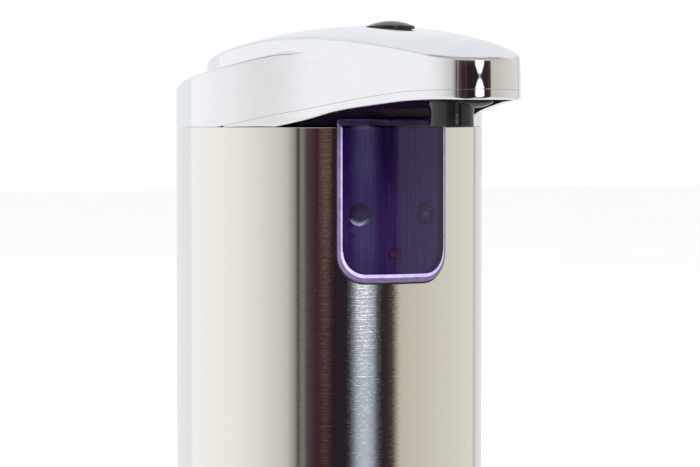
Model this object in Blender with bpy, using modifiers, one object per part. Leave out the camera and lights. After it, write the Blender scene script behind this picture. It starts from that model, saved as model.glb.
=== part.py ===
"""Automatic soap dispenser: a polished steel column with a chrome head that reaches forward as a spout.

Metres, +Z up. The origin is the centre of the foot pad on the table, and the spout points along -Y.
In the head, a "distance" is measured forward from the body's axis and a "height" upward from the seam.
"""

from math import acos, atan2, cos, hypot, pi, radians, sin, sqrt, tan

import bmesh
import bpy
from mathutils import Matrix, Vector

# Whole object
BODY_RADIUS = 0.038
SEAM_HEIGHT = 0.162
GAP = 0.0003
CUT_OVERRUN = 0.002
ROUND_SIDES = 60
MIDDLE_SIDES = 28
SMALL_SIDES = 16
MERGE_DISTANCE = 0.000005
SMOOTH_ANGLE = radians(35)
FLAT_ANGLE = radians(0.05)

# Foot pad and twist-off base
FOOT_THICKNESS = 0.0012
FOOT_PROUD = 0.0008
FOOT_MARGIN = 0.0045
BASE_HEIGHT = 0.012
BASE_FLOOR = 0.002
BASE_ROUNDING = 0.0015
UPSTAND_WALL = 0.0015
UPSTAND_RISE = 0.0062
LUG_COUNT = 3
LUG_START = radians(30)
LUG_HALF_ANGLE = radians(5)
LUG_HEIGHT = 0.002
LUG_REACH = 0.0011
LUG_DROP = 0.0012
TWIST_ANGLE = radians(30)

# Steel shell
SHELL_WALL = 0.0008

# Cells and the chassis that holds them
CELL_COUNT = 4
CELL_LENGTH = 0.0445
CELL_RADIUS = 0.00525
CELL_TIP_RADIUS = 0.0019
CELL_TIP_HEIGHT = 0.0008
WELL_CLEARANCE = 0.0004
WELL_WALL = 0.0012
WELL_TO_UPSTAND = 0.00185
WELL_ROOF = 0.0015
CHASSIS_WALL = 0.0014
DECK_THICKNESS = 0.0025
POST_RADIUS = 0.003
POST_TO_UPSTAND = 0.0022
PLATE_DROP = 0.002
PLATE_THICKNESS = 0.002
CONTACT_THICKNESS = 0.0004
CONTACT_HALF_WIDTH = 0.0036
SPRING_HEIGHT = 0.004
SPRING_FOOT_RADIUS = 0.0032
SPRING_TIP_RADIUS = 0.0018
SPRING_WIRE_RADIUS = 0.0003
SPRING_TURNS = 3
SPRING_POINTS_PER_TURN = 8

# Motor
MOTOR_RADIUS = 0.010
MOTOR_HALF_FLATS = 0.0078
MOTOR_LENGTH = 0.025
MOTOR_BOSS_RADIUS = 0.003
MOTOR_BOSS_HEIGHT = 0.0016
SHAFT_RADIUS = 0.001
SHAFT_CLEARANCE = 0.00015
SHAFT_DEPTH = 0.006
SLEEVE_WALL = 0.0012
TERMINAL_SPREAD = 0.005
TERMINAL_WIDTH = 0.002
TERMINAL_THICKNESS = 0.0005
TERMINAL_LENGTH = 0.004

# Gear pump
GEAR_TEETH = 12
GEAR_MODULE = 0.001
GEAR_DEDENDUM = 1.25
GEAR_THICKNESS = 0.005
GEAR_PRESSURE_ANGLE = radians(20)
GEAR_BACKLASH = 0.0002
GEAR_SIDE_GAP = 0.00015
FLANK_POINTS = 4
PUMP_WALL = 0.0022
PUMP_FLOOR = 0.0022
PUMP_COVER_THICKNESS = 0.0025
PUMP_TIP_GAP = 0.0003
PUMP_LUG_STEP = 0.0003
PORT_RADIUS = 0.002
PORT_WALL = 0.0012
PORT_OFFSET = 0.0062
SPIGOT_RISE = 0.0026
OUTLET_REACH = 0.0045
TANK_SEAL_HEIGHT = 0.0012
TANK_SEAL_WALL = 0.0014
SHAFT_SEAL_RADIUS = 0.0022
SHAFT_SEAL_HEIGHT = 0.0012
IDLER_PIN_RADIUS = 0.0012

# Soap tank
TANK_CLEARANCE = 0.0007
TANK_WALL = 0.0016
FRONT_ROOM = 0.017
TANK_DROP = 0.010
TANK_CORNER = 0.003
NECK_TO_FRONT = 0.015
NECK_BORE = 0.0103
NECK_WALL = 0.0016
NECK_FLANGE = 0.0018
NECK_FLANGE_HEIGHT = 0.0012
LID_THICKNESS = 0.0016
TANK_SIDES = 24
RIB_PLATE_THICKNESS = 0.0008
RIB_HALF_SPACING = 0.0165
RIB_WIDTH = 0.003
RIB_LOW = 0.010
RIB_OVERHANG = 0.004

# Outlet tube and nozzle
TUBE_RADIUS = 0.0022
TUBE_BORE = 0.0013
TUBE_TO_TANK = 0.0038
TUBE_HEIGHT = 0.011
TUBE_LEAD = 0.006
TUBE_BEND_POINTS = 8
TUBE_STRAIGHT_POINTS = 6
NOZZLE_TO_PLUG = 0.0121
NOZZLE_RADIUS = 0.0049
NOZZLE_FLARE_RADIUS = 0.0055
NOZZLE_WAIST_RADIUS = 0.0046
# The nozzle's outside, as (share of its height from the top, share of the way from waist to flare or mouth)
NOZZLE_FLARE_SHARES = ((0.0, 1.0), (0.08, 1.0), (0.25, 0.33), (0.5, 0.0))
NOZZLE_FOOT_SHARES = ((0.72, 0.5), (0.9, 1.0), (1.0, 0.3))
NOZZLE_MOUTH_SHARE = 0.33
NOZZLE_BORE = 0.0017
NOZZLE_MOUTH_RADIUS = 0.003
NOZZLE_ABOVE_SEAM = 0.0001
STEM_RADIUS = 0.0031
STEM_RISE = 0.0022
ELBOW_WALL = 0.0012
ELBOW_ROOF = 0.0012

# Head moulding
HEAD_HEIGHT = 0.0245
HEAD_WALL = 0.0018
SPOUT_REACH = 0.0863
LEDGE_WIDTH = 0.0077
SPOUT_TIP_RADIUS = 0.0123
SIDE_BLEND = 0.003
CREST_ROUNDING = 0.0012
RIM_ROUNDING = 0.0007
REAR_STATIONS = 16
FLANK_STATIONS = 6
SIDE_STATIONS = 8
NOSE_STATIONS = 6
ROUNDING_STEPS = 2
DOME_RINGS = 6
INNER_DOME_RINGS = 3

# Heights along the head, as (share of the spout's reach, share of the head's height)
CREST_SHARES = (
    (-0.35, 0.530), (-0.15, 0.660), (0.02, 0.746), (0.15, 0.825), (0.28, 0.868),
    (0.40, 0.873), (0.54, 0.845), (0.69, 0.792), (0.83, 0.722), (0.93, 0.668), (1.00, 0.648),
)
RIDGE_SHARES = (
    (0.0, 0.966), (0.12, 0.986), (0.23, 0.993), (0.40, 0.972), (0.57, 0.912), (0.75, 0.858), (0.87, 0.797),
)
LEDGE_SHARES = (
    (-0.44, 0.205), (-0.34, 0.248), (-0.19, 0.362), (-0.05, 0.458), (0.08, 0.532),
    (0.20, 0.613), (0.28, 0.679), (0.34, 0.712), (0.55, 0.700), (1.00, 0.500),
)
PARTING_SHARES = (
    (0.154, 0.000), (0.227, 0.045), (0.283, 0.090), (0.35, 0.139), (0.456, 0.189),
    (0.64, 0.268), (0.74, 0.302), (0.83, 0.326), (1.00, 0.342),
)
RIM_SHARES = (
    (0.316, 0.000), (0.36, 0.035), (0.455, 0.098), (0.51, 0.134), (0.58, 0.167),
    (0.725, 0.212), (0.81, 0.234), (0.92, 0.245), (1.00, 0.247),
)

# Strip, panel and plug under the spout
LEAST_STRIP = 0.0003
PANEL_HEIGHT = 0.0061
PANEL_THICKNESS = 0.0015
PANEL_RECESS = 0.001
COVE_RADIUS = 0.005
COVE_STEPS = 5
PLUG_TO_TIP = 0.0074
PLUG_RADIUS = 0.0038
PLUG_HEIGHT = 0.0015
PLUG_EDGE = 0.0004
BOSS_RADIUS = 0.0028
SCREW_RADIUS = 0.0011
SCREW_HEAD_RADIUS = 0.0023
SCREW_HEAD_HEIGHT = 0.0008
SPOUT_SCREW_LENGTH = 0.006
SHORT_SCREW_LENGTH = 0.005

# Collar between head and shell
COLLAR_DEPTH = 0.008
COLLAR_RISE = 0.003
COLLAR_WALL = 0.0015
COLLAR_OPEN_ANGLE = radians(43)

# Button and switch
BUTTON_TO_CAP = 0.0166
BUTTON_RADIUS = 0.0058
BUTTON_PROUD = 0.0013
BUTTON_EDGE_PROUD = 0.0001
BUTTON_DEPTH = 0.0026
BUTTON_TRAVEL = 0.0008
BUTTON_SLEEVE_WALL = 0.0012
BUTTON_SLEEVE_DEPTH = 0.0078
BUTTON_FLANGE = 0.0009
BUTTON_FLANGE_HEIGHT = 0.0008
SWITCH_WIDTH = 0.006
SWITCH_HEIGHT = 0.0032
PLUNGER_RADIUS = 0.0016
PLUNGER_DEPTH = 0.001
BOARD_THICKNESS = 0.0014

# Refill cap
CAP_RADIUS = 0.0124
CAP_SKIRT_RADIUS = 0.0097
CAP_SKIRT_WALL = 0.0013
CAP_SKIRT_DEPTH = 0.008
CAP_EDGE = 0.0009
GASKET_HEIGHT = 0.0008
NOTCH_RADIUS = 0.0045
NOTCH_DEPTH = 0.0006
NOTCH_INSET = 0.0015

# Sensor window and what stands behind it
WINDOW_HALF_WIDTH = 0.0145
WINDOW_RISE = 0.0018
WINDOW_DROP = 0.037
WINDOW_CORNER = 0.0068
WINDOW_TOP_CORNER = 0.0008
WINDOW_PROUD = 0.001
WINDOW_THICKNESS = 0.0017
WINDOW_BEVEL = 0.0015
WINDOW_CORNER_POINTS = 8
WINDOW_STRIPS = 12
EYE_ANGLE = radians(13.3)
LAMP_TO_EDGE = 0.0069
EYES_TO_LAMP = 0.0094
EYE_RADIUS = 0.0025
LAMP_RADIUS = 0.0015
BRACKET_THICKNESS = 0.0015
BRACKET_MARGIN = 0.0022
SENSOR_BOARD_BACK = 0.0065
SENSOR_BOARD_MARGIN = 0.003
LENS_BASE_HEIGHT = 0.001
LENS_BASE_RADIUS = 0.0006

# Main board
BOARD_TO_SHELL = 0.0024
BOARD_SPACING = 0.0114
CHIP_WIDTH = 0.008
CHIP_HEIGHT = 0.0015

# Colour, roughness, metallic
CHROME = ((0.86, 0.87, 0.89), 0.05, 1.0)
STEEL = ((0.70, 0.69, 0.66), 0.16, 1.0)
BLACK_GLOSS = ((0.012, 0.012, 0.015), 0.12, 0.0)
BLACK_MATT = ((0.025, 0.025, 0.028), 0.45, 0.0)
PURPLE_CLEAR = ((0.16, 0.09, 0.36), 0.06, 0.0)
WHITE_PLASTIC = ((0.72, 0.72, 0.70), 0.35, 0.0)
CLEAR_PLASTIC = ((0.80, 0.84, 0.86), 0.12, 0.0)
RUBBER = ((0.03, 0.03, 0.03), 0.7, 0.0)
SILICONE = ((0.78, 0.78, 0.76), 0.4, 0.0)
BOARD_GREEN = ((0.02, 0.20, 0.09), 0.35, 0.0)
CONTACT_METAL = ((0.74, 0.72, 0.66), 0.25, 1.0)
CELL_SLEEVE = ((0.10, 0.11, 0.13), 0.3, 0.3)
LAMP_RED = ((0.65, 0.03, 0.06), 0.1, 0.0)
LENS_DARK = ((0.03, 0.02, 0.05), 0.08, 0.0)

# Levels that follow from the sizes above
FOOT_RADIUS = BODY_RADIUS - FOOT_MARGIN
SHELL_BORE = BODY_RADIUS - SHELL_WALL
CHASSIS_RADIUS = SHELL_BORE - GAP
SKIRT_BORE = CHASSIS_RADIUS - CHASSIS_WALL
UPSTAND_RADIUS = SKIRT_BORE - GAP
UPSTAND_BORE = UPSTAND_RADIUS - UPSTAND_WALL
SHELL_LOW = BASE_HEIGHT + GAP
POST_RING_RADIUS = UPSTAND_BORE - POST_TO_UPSTAND - POST_RADIUS
PLATE_LOW = BASE_HEIGHT - PLATE_DROP
PLATE_TOP = PLATE_LOW + PLATE_THICKNESS
CONTACT_LOW = PLATE_TOP + GAP
SPRING_LOW = CONTACT_LOW + CONTACT_THICKNESS + GAP
CELL_LOW = SPRING_LOW + SPRING_HEIGHT + GAP
CELL_TOP = CELL_LOW + CELL_LENGTH
TOP_CONTACT_LOW = CELL_TOP + GAP
WELL_RADIUS = CELL_RADIUS + WELL_CLEARANCE
CELL_RING_RADIUS = UPSTAND_BORE - WELL_TO_UPSTAND - WELL_WALL - WELL_RADIUS
WELL_LOW = SPRING_LOW
WELL_CEILING = TOP_CONTACT_LOW + CONTACT_THICKNESS + GAP
WELL_TOP = WELL_CEILING + WELL_ROOF
TANK_LOW = WELL_TOP + GAP
PUMP_COVER_TOP = TANK_LOW - GAP - TANK_SEAL_HEIGHT - GAP
PUMP_COVER_LOW = PUMP_COVER_TOP - PUMP_COVER_THICKNESS
PUMP_TOP = PUMP_COVER_LOW - GAP
GEAR_POCKET_DEPTH = GEAR_THICKNESS + GEAR_SIDE_GAP * 2
GEAR_LOW = PUMP_TOP - GEAR_SIDE_GAP - GEAR_THICKNESS
PUMP_LOW = PUMP_TOP - GEAR_POCKET_DEPTH - PUMP_FLOOR
DECK_TOP = PUMP_LOW - GAP
DECK_LOW = DECK_TOP - DECK_THICKNESS
MOTOR_TOP = DECK_LOW - GAP
MOTOR_LOW = MOTOR_TOP - MOTOR_LENGTH
GEAR_PITCH_RADIUS = GEAR_MODULE * GEAR_TEETH / 2
GEAR_TIP_RADIUS = GEAR_PITCH_RADIUS + GEAR_MODULE
GEAR_ROOT_RADIUS = GEAR_PITCH_RADIUS - GEAR_MODULE * GEAR_DEDENDUM
GEAR_CENTRES = GEAR_PITCH_RADIUS * 2 + GEAR_BACKLASH
POCKET_RADIUS = GEAR_TIP_RADIUS + PUMP_TIP_GAP
PUMP_HALF_DEPTH = POCKET_RADIUS + PUMP_WALL
MESH_X = GEAR_CENTRES / 2
TANK_RADIUS = SHELL_BORE - TANK_CLEARANCE
TANK_FRONT = BODY_RADIUS - FRONT_ROOM
NECK_OFFSET = NECK_TO_FRONT - TANK_FRONT
TUBE_FRONT = TANK_FRONT + TUBE_TO_TANK
TUBE_BEND = TUBE_FRONT - PUMP_HALF_DEPTH - GAP - TUBE_LEAD
TANK_TOP = SEAM_HEIGHT - TANK_DROP
SPOUT_REAR_RADIUS = BODY_RADIUS - LEDGE_WIDTH
SPOUT_TIP_CENTRE = SPOUT_REACH - SPOUT_TIP_RADIUS
PLUG_DISTANCE = SPOUT_REACH - PLUG_TO_TIP
NOZZLE_DISTANCE = PLUG_DISTANCE - NOZZLE_TO_PLUG
BUTTON_DISTANCE = CAP_RADIUS - NECK_OFFSET + BUTTON_TO_CAP
SIDE_TAPER = (SPOUT_REAR_RADIUS - SPOUT_TIP_RADIUS) / SPOUT_TIP_CENTRE
PANEL_LOW = SEAM_HEIGHT + PANEL_HEIGHT
PANEL_TOP = PANEL_LOW + PANEL_THICKNESS
WINDOW_RADIUS = BODY_RADIUS + WINDOW_PROUD
BRACKET_RADIUS = WINDOW_RADIUS - WINDOW_THICKNESS - GAP
SENSOR_BOARD_FRONT = BRACKET_RADIUS - SENSOR_BOARD_BACK
LAMP_DROP = WINDOW_DROP - LAMP_TO_EDGE
EYE_DROP = LAMP_DROP - EYES_TO_LAMP
SENSOR_BOARD_LOW = SEAM_HEIGHT - WINDOW_DROP + SENSOR_BOARD_MARGIN
MAIN_BOARD_LOW = TANK_LOW + RIB_LOW
MAIN_BOARD_HEIGHT = SENSOR_BOARD_LOW - BOARD_SPACING - MAIN_BOARD_LOW
MAIN_BOARD_BACK = TUBE_FRONT + TUBE_RADIUS + GAP * 3
MAIN_BOARD_FRONT = MAIN_BOARD_BACK + BOARD_THICKNESS
MAIN_BOARD_HALF_WIDTH = sqrt(SHELL_BORE**2 - MAIN_BOARD_FRONT**2) - BOARD_TO_SHELL
RIB_LENGTH = MAIN_BOARD_HEIGHT + RIB_OVERHANG


def clear_scene():
    for obj in list(bpy.data.objects):
        bpy.data.objects.remove(obj, do_unlink=True)
    for group in list(bpy.data.collections):
        bpy.data.collections.remove(group)


def new_group(name):
    group = bpy.data.collections.new(name)
    bpy.context.scene.collection.children.link(group)
    return group


clear_scene()
PARTS = new_group("automatic_soap_dispenser")
CUTTERS = new_group("cutters")
CUTTERS.hide_render = True


def finish(obj, look):
    """Gives the object its own material from a look, and smooth shading with sharp edges kept."""
    colour, roughness, metallic = look
    material = bpy.data.materials.new(obj.name)
    material.use_nodes = True
    shader = material.node_tree.nodes["Principled BSDF"]
    shader.inputs["Base Color"].default_value = (*colour, 1.0)
    shader.inputs["Roughness"].default_value = roughness
    shader.inputs["Metallic"].default_value = metallic
    obj.data.materials.append(material)
    if obj.type == "MESH":
        obj.data.shade_smooth()
        obj.data.set_sharp_from_angle(angle=SMOOTH_ANGLE)
    return obj


def tool(obj):
    """Moves a helper shape to the cutters, where it isn't rendered."""
    PARTS.objects.unlink(obj)
    CUTTERS.objects.link(obj)
    obj.hide_render = True
    obj.display_type = "WIRE"
    return obj


def object_from(name, shape):
    """An object from a bmesh, which it frees."""
    mesh = bpy.data.meshes.new(name)
    shape.to_mesh(mesh)
    shape.free()
    obj = bpy.data.objects.new(name, mesh)
    PARTS.objects.link(obj)
    return obj


def boolean(target, other, operation):
    change = target.modifiers.new(operation.lower(), "BOOLEAN")
    change.operation = operation
    change.solver = "EXACT"
    change.object = tool(other)
    return target


def cut(target, other):
    return boolean(target, other, "DIFFERENCE")


def join(target, other):
    return boolean(target, other, "UNION")


def keep(target, other):
    return boolean(target, other, "INTERSECT")


def turned(name, profile, at=(0, 0, 0), steps=ROUND_SIDES):
    """A turned shape from (radius, height) points that run down the outer side."""
    shape = bmesh.new()
    points = [shape.verts.new((radius, 0, height)) for radius, height in profile]
    for first, second in zip(points, points[1:]):
        shape.edges.new((first, second))
    if profile[0][0] > 0:
        shape.edges.new((points[-1], points[0]))
    obj = object_from(name, shape)
    screw = obj.modifiers.new("turn", "SCREW")
    screw.steps = steps
    screw.render_steps = steps
    screw.use_merge_vertices = True
    screw.merge_threshold = MERGE_DISTANCE
    screw.use_smooth_shade = True
    obj.location = at
    return obj


def cylinder(name, radius, low, high, at=(0, 0), sides=SMALL_SIDES):
    shape = bmesh.new()
    bmesh.ops.create_cone(
        shape, cap_ends=True, segments=sides, radius1=radius, radius2=radius, depth=high - low
    )
    obj = object_from(name, shape)
    obj.location = (*at, (low + high) / 2)
    return obj


def block(name, low, high, rounding=0):
    """A box between two corners, its edges rounded where asked."""
    shape = bmesh.new()
    bmesh.ops.create_cube(shape, size=1)
    size = [b - a for a, b in zip(low, high)]
    bmesh.ops.scale(shape, vec=size, verts=shape.verts)
    obj = object_from(name, shape)
    obj.location = [(a + b) / 2 for a, b in zip(low, high)]
    if rounding:
        bevel = obj.modifiers.new("rounding", "BEVEL")
        bevel.width = rounding
        bevel.segments = 2
    return obj


def meshed(curve_object):
    """The curve object's shape as a mesh object with its caps welded, in the curve object's place."""
    bpy.context.view_layer.update()
    graph = bpy.context.evaluated_depsgraph_get()
    mesh = bpy.data.meshes.new_from_object(curve_object.evaluated_get(graph))
    shape = bmesh.new()
    shape.from_mesh(mesh)
    bmesh.ops.remove_doubles(shape, verts=shape.verts, dist=MERGE_DISTANCE)
    bmesh.ops.dissolve_limit(shape, angle_limit=FLAT_ANGLE, verts=shape.verts, edges=shape.edges)
    shape.to_mesh(mesh)
    shape.free()
    name = curve_object.name
    place = curve_object.matrix_world.copy()
    bpy.data.objects.remove(curve_object, do_unlink=True)
    obj = bpy.data.objects.new(name, mesh)
    obj.matrix_world = place
    PARTS.objects.link(obj)
    return obj


def plate(name, outline, low, high, at=(0, 0)):
    """A flat outline of (x, y) points, as thick as the span from low to high."""
    curve = bpy.data.curves.new(name, "CURVE")
    curve.dimensions = "2D"
    curve.fill_mode = "BOTH"
    curve.extrude = (high - low) / 2
    spline = curve.splines.new("POLY")
    spline.points.add(len(outline) - 1)
    for point, (x, y) in zip(spline.points, outline):
        point.co = (x, y, 0, 1)
    spline.use_cyclic_u = True
    obj = bpy.data.objects.new(name, curve)
    PARTS.objects.link(obj)
    obj.location = (*at, (low + high) / 2)
    return meshed(obj)


def wire(name, points, radius, sides_level=2):
    """A round bar along a list of points, with closed ends."""
    curve = bpy.data.curves.new(name, "CURVE")
    curve.dimensions = "3D"
    curve.bevel_depth = radius
    curve.bevel_resolution = sides_level
    curve.use_fill_caps = True
    spline = curve.splines.new("POLY")
    spline.points.add(len(points) - 1)
    for point, place in zip(spline.points, points):
        point.co = (*place, 1)
    obj = bpy.data.objects.new(name, curve)
    PARTS.objects.link(obj)
    return obj


def skin(name, rows, around):
    """Faces between rows of points. Rows close round when asked, and otherwise the end rows are filled."""
    shape = bmesh.new()
    grid = [[shape.verts.new(point) for point in row] for row in rows]
    for lower, upper in zip(grid, grid[1:]):
        for j in range(len(lower)):
            k = (j + 1) % len(lower)
            shape.faces.new((lower[j], lower[k], upper[k], upper[j]))
    if not around:
        shape.faces.new(grid[0])
        shape.faces.new(grid[-1])
    bmesh.ops.remove_doubles(shape, verts=shape.verts, dist=MERGE_DISTANCE)
    bmesh.ops.dissolve_degenerate(shape, edges=shape.edges, dist=MERGE_DISTANCE)
    bmesh.ops.recalc_face_normals(shape, faces=shape.faces)
    return object_from(name, shape)


def ring(radius, count, start=0.0):
    """Evenly spaced (x, y) points on a circle."""
    return [
        (radius * cos(start + 2 * pi * i / count), radius * sin(start + 2 * pi * i / count))
        for i in range(count)
    ]


def smooth_height(shares, distance):
    """A height read from a table of shares by a curve without bumps between its points."""
    xs = [share * SPOUT_REACH for share, _ in shares]
    ys = [share * HEAD_HEIGHT for _, share in shares]
    if distance <= xs[0]:
        return ys[0]
    if distance >= xs[-1]:
        return ys[-1]
    slopes = [(ys[i + 1] - ys[i]) / (xs[i + 1] - xs[i]) for i in range(len(xs) - 1)]
    tangents = [slopes[0]]
    for before, after in zip(slopes, slopes[1:]):
        tangents.append(2 * before * after / (before + after) if before * after > 0 else 0.0)
    tangents.append(slopes[-1])
    i = max(k for k in range(len(xs) - 1) if xs[k] <= distance)
    span = xs[i + 1] - xs[i]
    t = (distance - xs[i]) / span
    return (
        (2 * t**3 - 3 * t**2 + 1) * ys[i]
        + (t**3 - 2 * t**2 + t) * span * tangents[i]
        + (3 * t**2 - 2 * t**3) * ys[i + 1]
        + (t**3 - t**2) * span * tangents[i + 1]
    )


def spout_stations():
    """Places round the raised spout, as (centre distance, radius, normal) from the rear round and back.

    Its plan is the outline of two circles, a wide one on the body's axis and a small one at the nose,
    joined by their tangents. Each place stores its circle, so that a smaller outline follows the same rule.
    """
    lean = sin_inverse(SIDE_TAPER)
    half = []
    for i in range(REAR_STATIONS):
        half.append((0.0, SPOUT_REAR_RADIUS, -pi / 2 + (lean + pi / 2) * i / REAR_STATIONS))
    meet = side_share_at(BODY_RADIUS, lean)
    for i in range(FLANK_STATIONS):
        half.append(side_place(meet * i / FLANK_STATIONS, lean))
    for i in range(SIDE_STATIONS):
        half.append(side_place(meet + (1 - meet) * i / SIDE_STATIONS, lean))
    for i in range(NOSE_STATIONS + 1):
        turn = lean + (pi / 2 - lean) * i / NOSE_STATIONS
        half.append((SPOUT_TIP_CENTRE, SPOUT_TIP_RADIUS, turn))
    stations = [(centre, radius, (cos(turn), sin(turn))) for centre, radius, turn in half]
    other = [(centre, radius, (-side, ahead)) for centre, radius, (side, ahead) in stations[-2:0:-1]]
    return stations + other


def sin_inverse(value):
    return pi / 2 - acos(value)


def side_place(share, lean):
    """A place on the straight side, at a share of the way from the rear circle to the nose."""
    radius = SPOUT_REAR_RADIUS + (SPOUT_TIP_RADIUS - SPOUT_REAR_RADIUS) * share
    return (SPOUT_TIP_CENTRE * share, radius, lean)


def side_share_at(wanted, lean):
    """The share of the straight side at which it lies a wanted distance from the body's axis."""
    low, high = 0.0, 1.0
    for _ in range(40):
        middle = (low + high) / 2
        centre, radius, _ = side_place(middle, lean)
        reach = hypot(radius * cos(lean), centre + radius * sin(lean))
        low, high = (middle, high) if reach < wanted else (low, middle)
    return low


def spout_point(station, inset=0.0):
    """A (side, distance) point of the raised spout's outline, moved in by inset."""
    centre, radius, (side, ahead) = station
    return (side * (radius - inset), centre + ahead * (radius - inset))


def band_point(station, inset=0.0):
    """The same place on the head's lower outline: the body's circle, run softly into the spout's side."""
    side, distance = spout_point(station, inset)
    reach = hypot(side, distance)
    round_reach = BODY_RADIUS - inset
    apart = abs(round_reach - reach)
    wanted = max(reach, round_reach)
    if apart < SIDE_BLEND:
        wanted += (SIDE_BLEND - apart) ** 2 / (4 * SIDE_BLEND)
    return (side * wanted / reach, distance * wanted / reach)


def placed(point, height):
    side, distance = point
    return (side, -distance, SEAM_HEIGHT + height)


def crest_height(station):
    return smooth_height(CREST_SHARES, spout_point(station)[1])


def ledge_height(station):
    highest = crest_height(station) - CREST_ROUNDING * 2
    return min(smooth_height(LEDGE_SHARES, band_point(station)[1]), highest)


def lower_height(station):
    """The head moulding's lower edge: the seam at the back, and just above the parting line in front."""
    return max(GAP / 2, smooth_height(PARTING_SHARES, band_point(station)[1]) + GAP / 2)


def dome_ring(stations, share, rounding, wall):
    """One ring of the domed top, from the crest at share 1 to the ridge at share 0."""
    points = []
    for station in stations:
        centre, radius, _ = station
        inset = rounding + (radius - rounding) * (1 - share)
        crest = crest_height(station)
        ridge = smooth_height(RIDGE_SHARES, centre)
        height = crest + (ridge - crest) * (1 - share**2) - wall
        points.append(placed(spout_point(station, inset), height))
    return points


def band_rings(stations):
    """The outer rings from the lower edge, over the rounded rim of the ledge, to the foot of the spout."""
    lower, under_rim, rim, foot = [], [], [], []
    for station in stations:
        side, distance = band_point(station)
        inner_side, inner_distance = spout_point(station)
        width = hypot(side - inner_side, distance - inner_distance)
        rounding = min(RIM_ROUNDING, width / 2)
        ledge = ledge_height(station)
        share = rounding / width if width > MERGE_DISTANCE else 0.0
        rim_point = (side + (inner_side - side) * share, distance + (inner_distance - distance) * share)
        lower.append(placed((side, distance), lower_height(station)))
        under_rim.append(placed((side, distance), ledge - rounding))
        rim.append(placed(rim_point, ledge))
        foot.append(placed((inner_side, inner_distance), ledge))
    return [lower, under_rim, rim, foot]


def crest_rings(stations):
    """The rings that round the edge between the spout's side and its top."""
    rings = []
    for step in range(ROUNDING_STEPS):
        turn = pi / 2 * step / ROUNDING_STEPS
        inset = CREST_ROUNDING * (1 - cos(turn))
        drop = CREST_ROUNDING * (1 - sin(turn))
        rings.append(
            [placed(spout_point(station, inset), crest_height(station) - drop) for station in stations]
        )
    return rings


def dome_rings(stations, rounding, wall, count=DOME_RINGS):
    shares = [1 - step / count for step in range(count + 1)]
    return [dome_ring(stations, share, rounding, wall) for share in shares]


def inner_rings(stations):
    """The rings of the head's inner face, from its lower edge up to the inner ridge."""
    lower, ceiling, foot = [], [], []
    for station in stations:
        band = band_point(station, HEAD_WALL)
        ledge = max(ledge_height(station) - HEAD_WALL, lower_height(station) + HEAD_WALL)
        lower.append(placed(band, lower_height(station)))
        ceiling.append(placed(band, ledge))
        foot.append(placed(spout_point(station, HEAD_WALL), ledge))
    return [lower, ceiling, foot] + dome_rings(stations, HEAD_WALL, HEAD_WALL, INNER_DOME_RINGS)


def ridge_height(distance):
    """The level of the head's top on its middle line."""
    ridge = smooth_height(RIDGE_SHARES, min(distance, SPOUT_TIP_CENTRE))
    over = max(0.0, distance - SPOUT_TIP_CENTRE) / SPOUT_TIP_RADIUS
    nose = smooth_height(CREST_SHARES, SPOUT_REACH)
    return SEAM_HEIGHT + ridge - (ridge - nose) * over**2


def head_solid(name):
    """The raised spout as a filled solid with a flat bottom, which gives the refill cap its domed top."""
    stations = spout_stations()
    bottom = [placed(spout_point(station, CREST_ROUNDING), HEAD_HEIGHT / 4) for station in stations]
    obj = skin(name, [bottom] + dome_rings(stations, CREST_ROUNDING, 0), around=True)
    shape = bmesh.new()
    shape.from_mesh(obj.data)
    bmesh.ops.holes_fill(shape, edges=[edge for edge in shape.edges if edge.is_boundary])
    bmesh.ops.recalc_face_normals(shape, faces=shape.faces)
    shape.to_mesh(obj.data)
    shape.free()
    return obj


def make_head_cover():
    """The chrome moulding: a round band, a ledge that tapers into the side, and the raised, domed spout."""
    stations = spout_stations()
    inside = inner_rings(stations)
    outside = band_rings(stations) + crest_rings(stations) + dome_rings(stations, CREST_ROUNDING, 0)
    cover = skin("head_cover", inside[::-1] + outside, around=True)
    add_button_sleeve(cover)
    boss_at = (0, -PLUG_DISTANCE)
    boss_top = ridge_height(PLUG_DISTANCE + BOSS_RADIUS) - HEAD_WALL / 2
    join(cover, cylinder("boss", BOSS_RADIUS, PANEL_TOP + GAP, boss_top, boss_at, SMALL_SIDES))
    bore = SCREW_RADIUS + SHAFT_CLEARANCE
    cut(cover, cylinder("boss_hole", bore, PANEL_TOP, spout_screw_top() + GAP, boss_at))
    refill_at = (0, NECK_OFFSET)
    cut(
        cover,
        cylinder(
            "refill_hole",
            CAP_RADIUS + GAP,
            SEAM_HEIGHT + HEAD_HEIGHT / 2,
            SEAM_HEIGHT + HEAD_HEIGHT + CUT_OVERRUN,
            refill_at,
            ROUND_SIDES,
        ),
    )
    return finish(cover, CHROME)


def add_button_sleeve(cover):
    """A sleeve that guides the button, hung from the top of the moulding."""
    at = (0, -BUTTON_DISTANCE)
    top = ridge_height(BUTTON_DISTANCE) - HEAD_WALL / 2
    outer = BUTTON_RADIUS + GAP + BUTTON_FLANGE + BUTTON_SLEEVE_WALL
    join(cover, cylinder("sleeve", outer, sleeve_low(), top, at, MIDDLE_SIDES))
    wide = BUTTON_RADIUS + GAP + BUTTON_FLANGE
    shoulder = button_low() + BUTTON_FLANGE_HEIGHT + GAP
    cut(cover, cylinder("sleeve_bore", wide, sleeve_low() - CUT_OVERRUN, shoulder, at, MIDDLE_SIDES))
    narrow = BUTTON_RADIUS + GAP
    over = ridge_height(BUTTON_DISTANCE) + CUT_OVERRUN
    cut(cover, cylinder("button_hole", narrow, shoulder - CUT_OVERRUN, over, at, MIDDLE_SIDES))


def button_edge():
    """The height of the top surface at the button's edge, where its dome starts."""
    return ridge_height(BUTTON_DISTANCE) + BUTTON_EDGE_PROUD


def button_low():
    return button_edge() - BUTTON_DEPTH - BUTTON_FLANGE_HEIGHT


def sleeve_low():
    return button_edge() - BUTTON_SLEEVE_DEPTH


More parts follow.
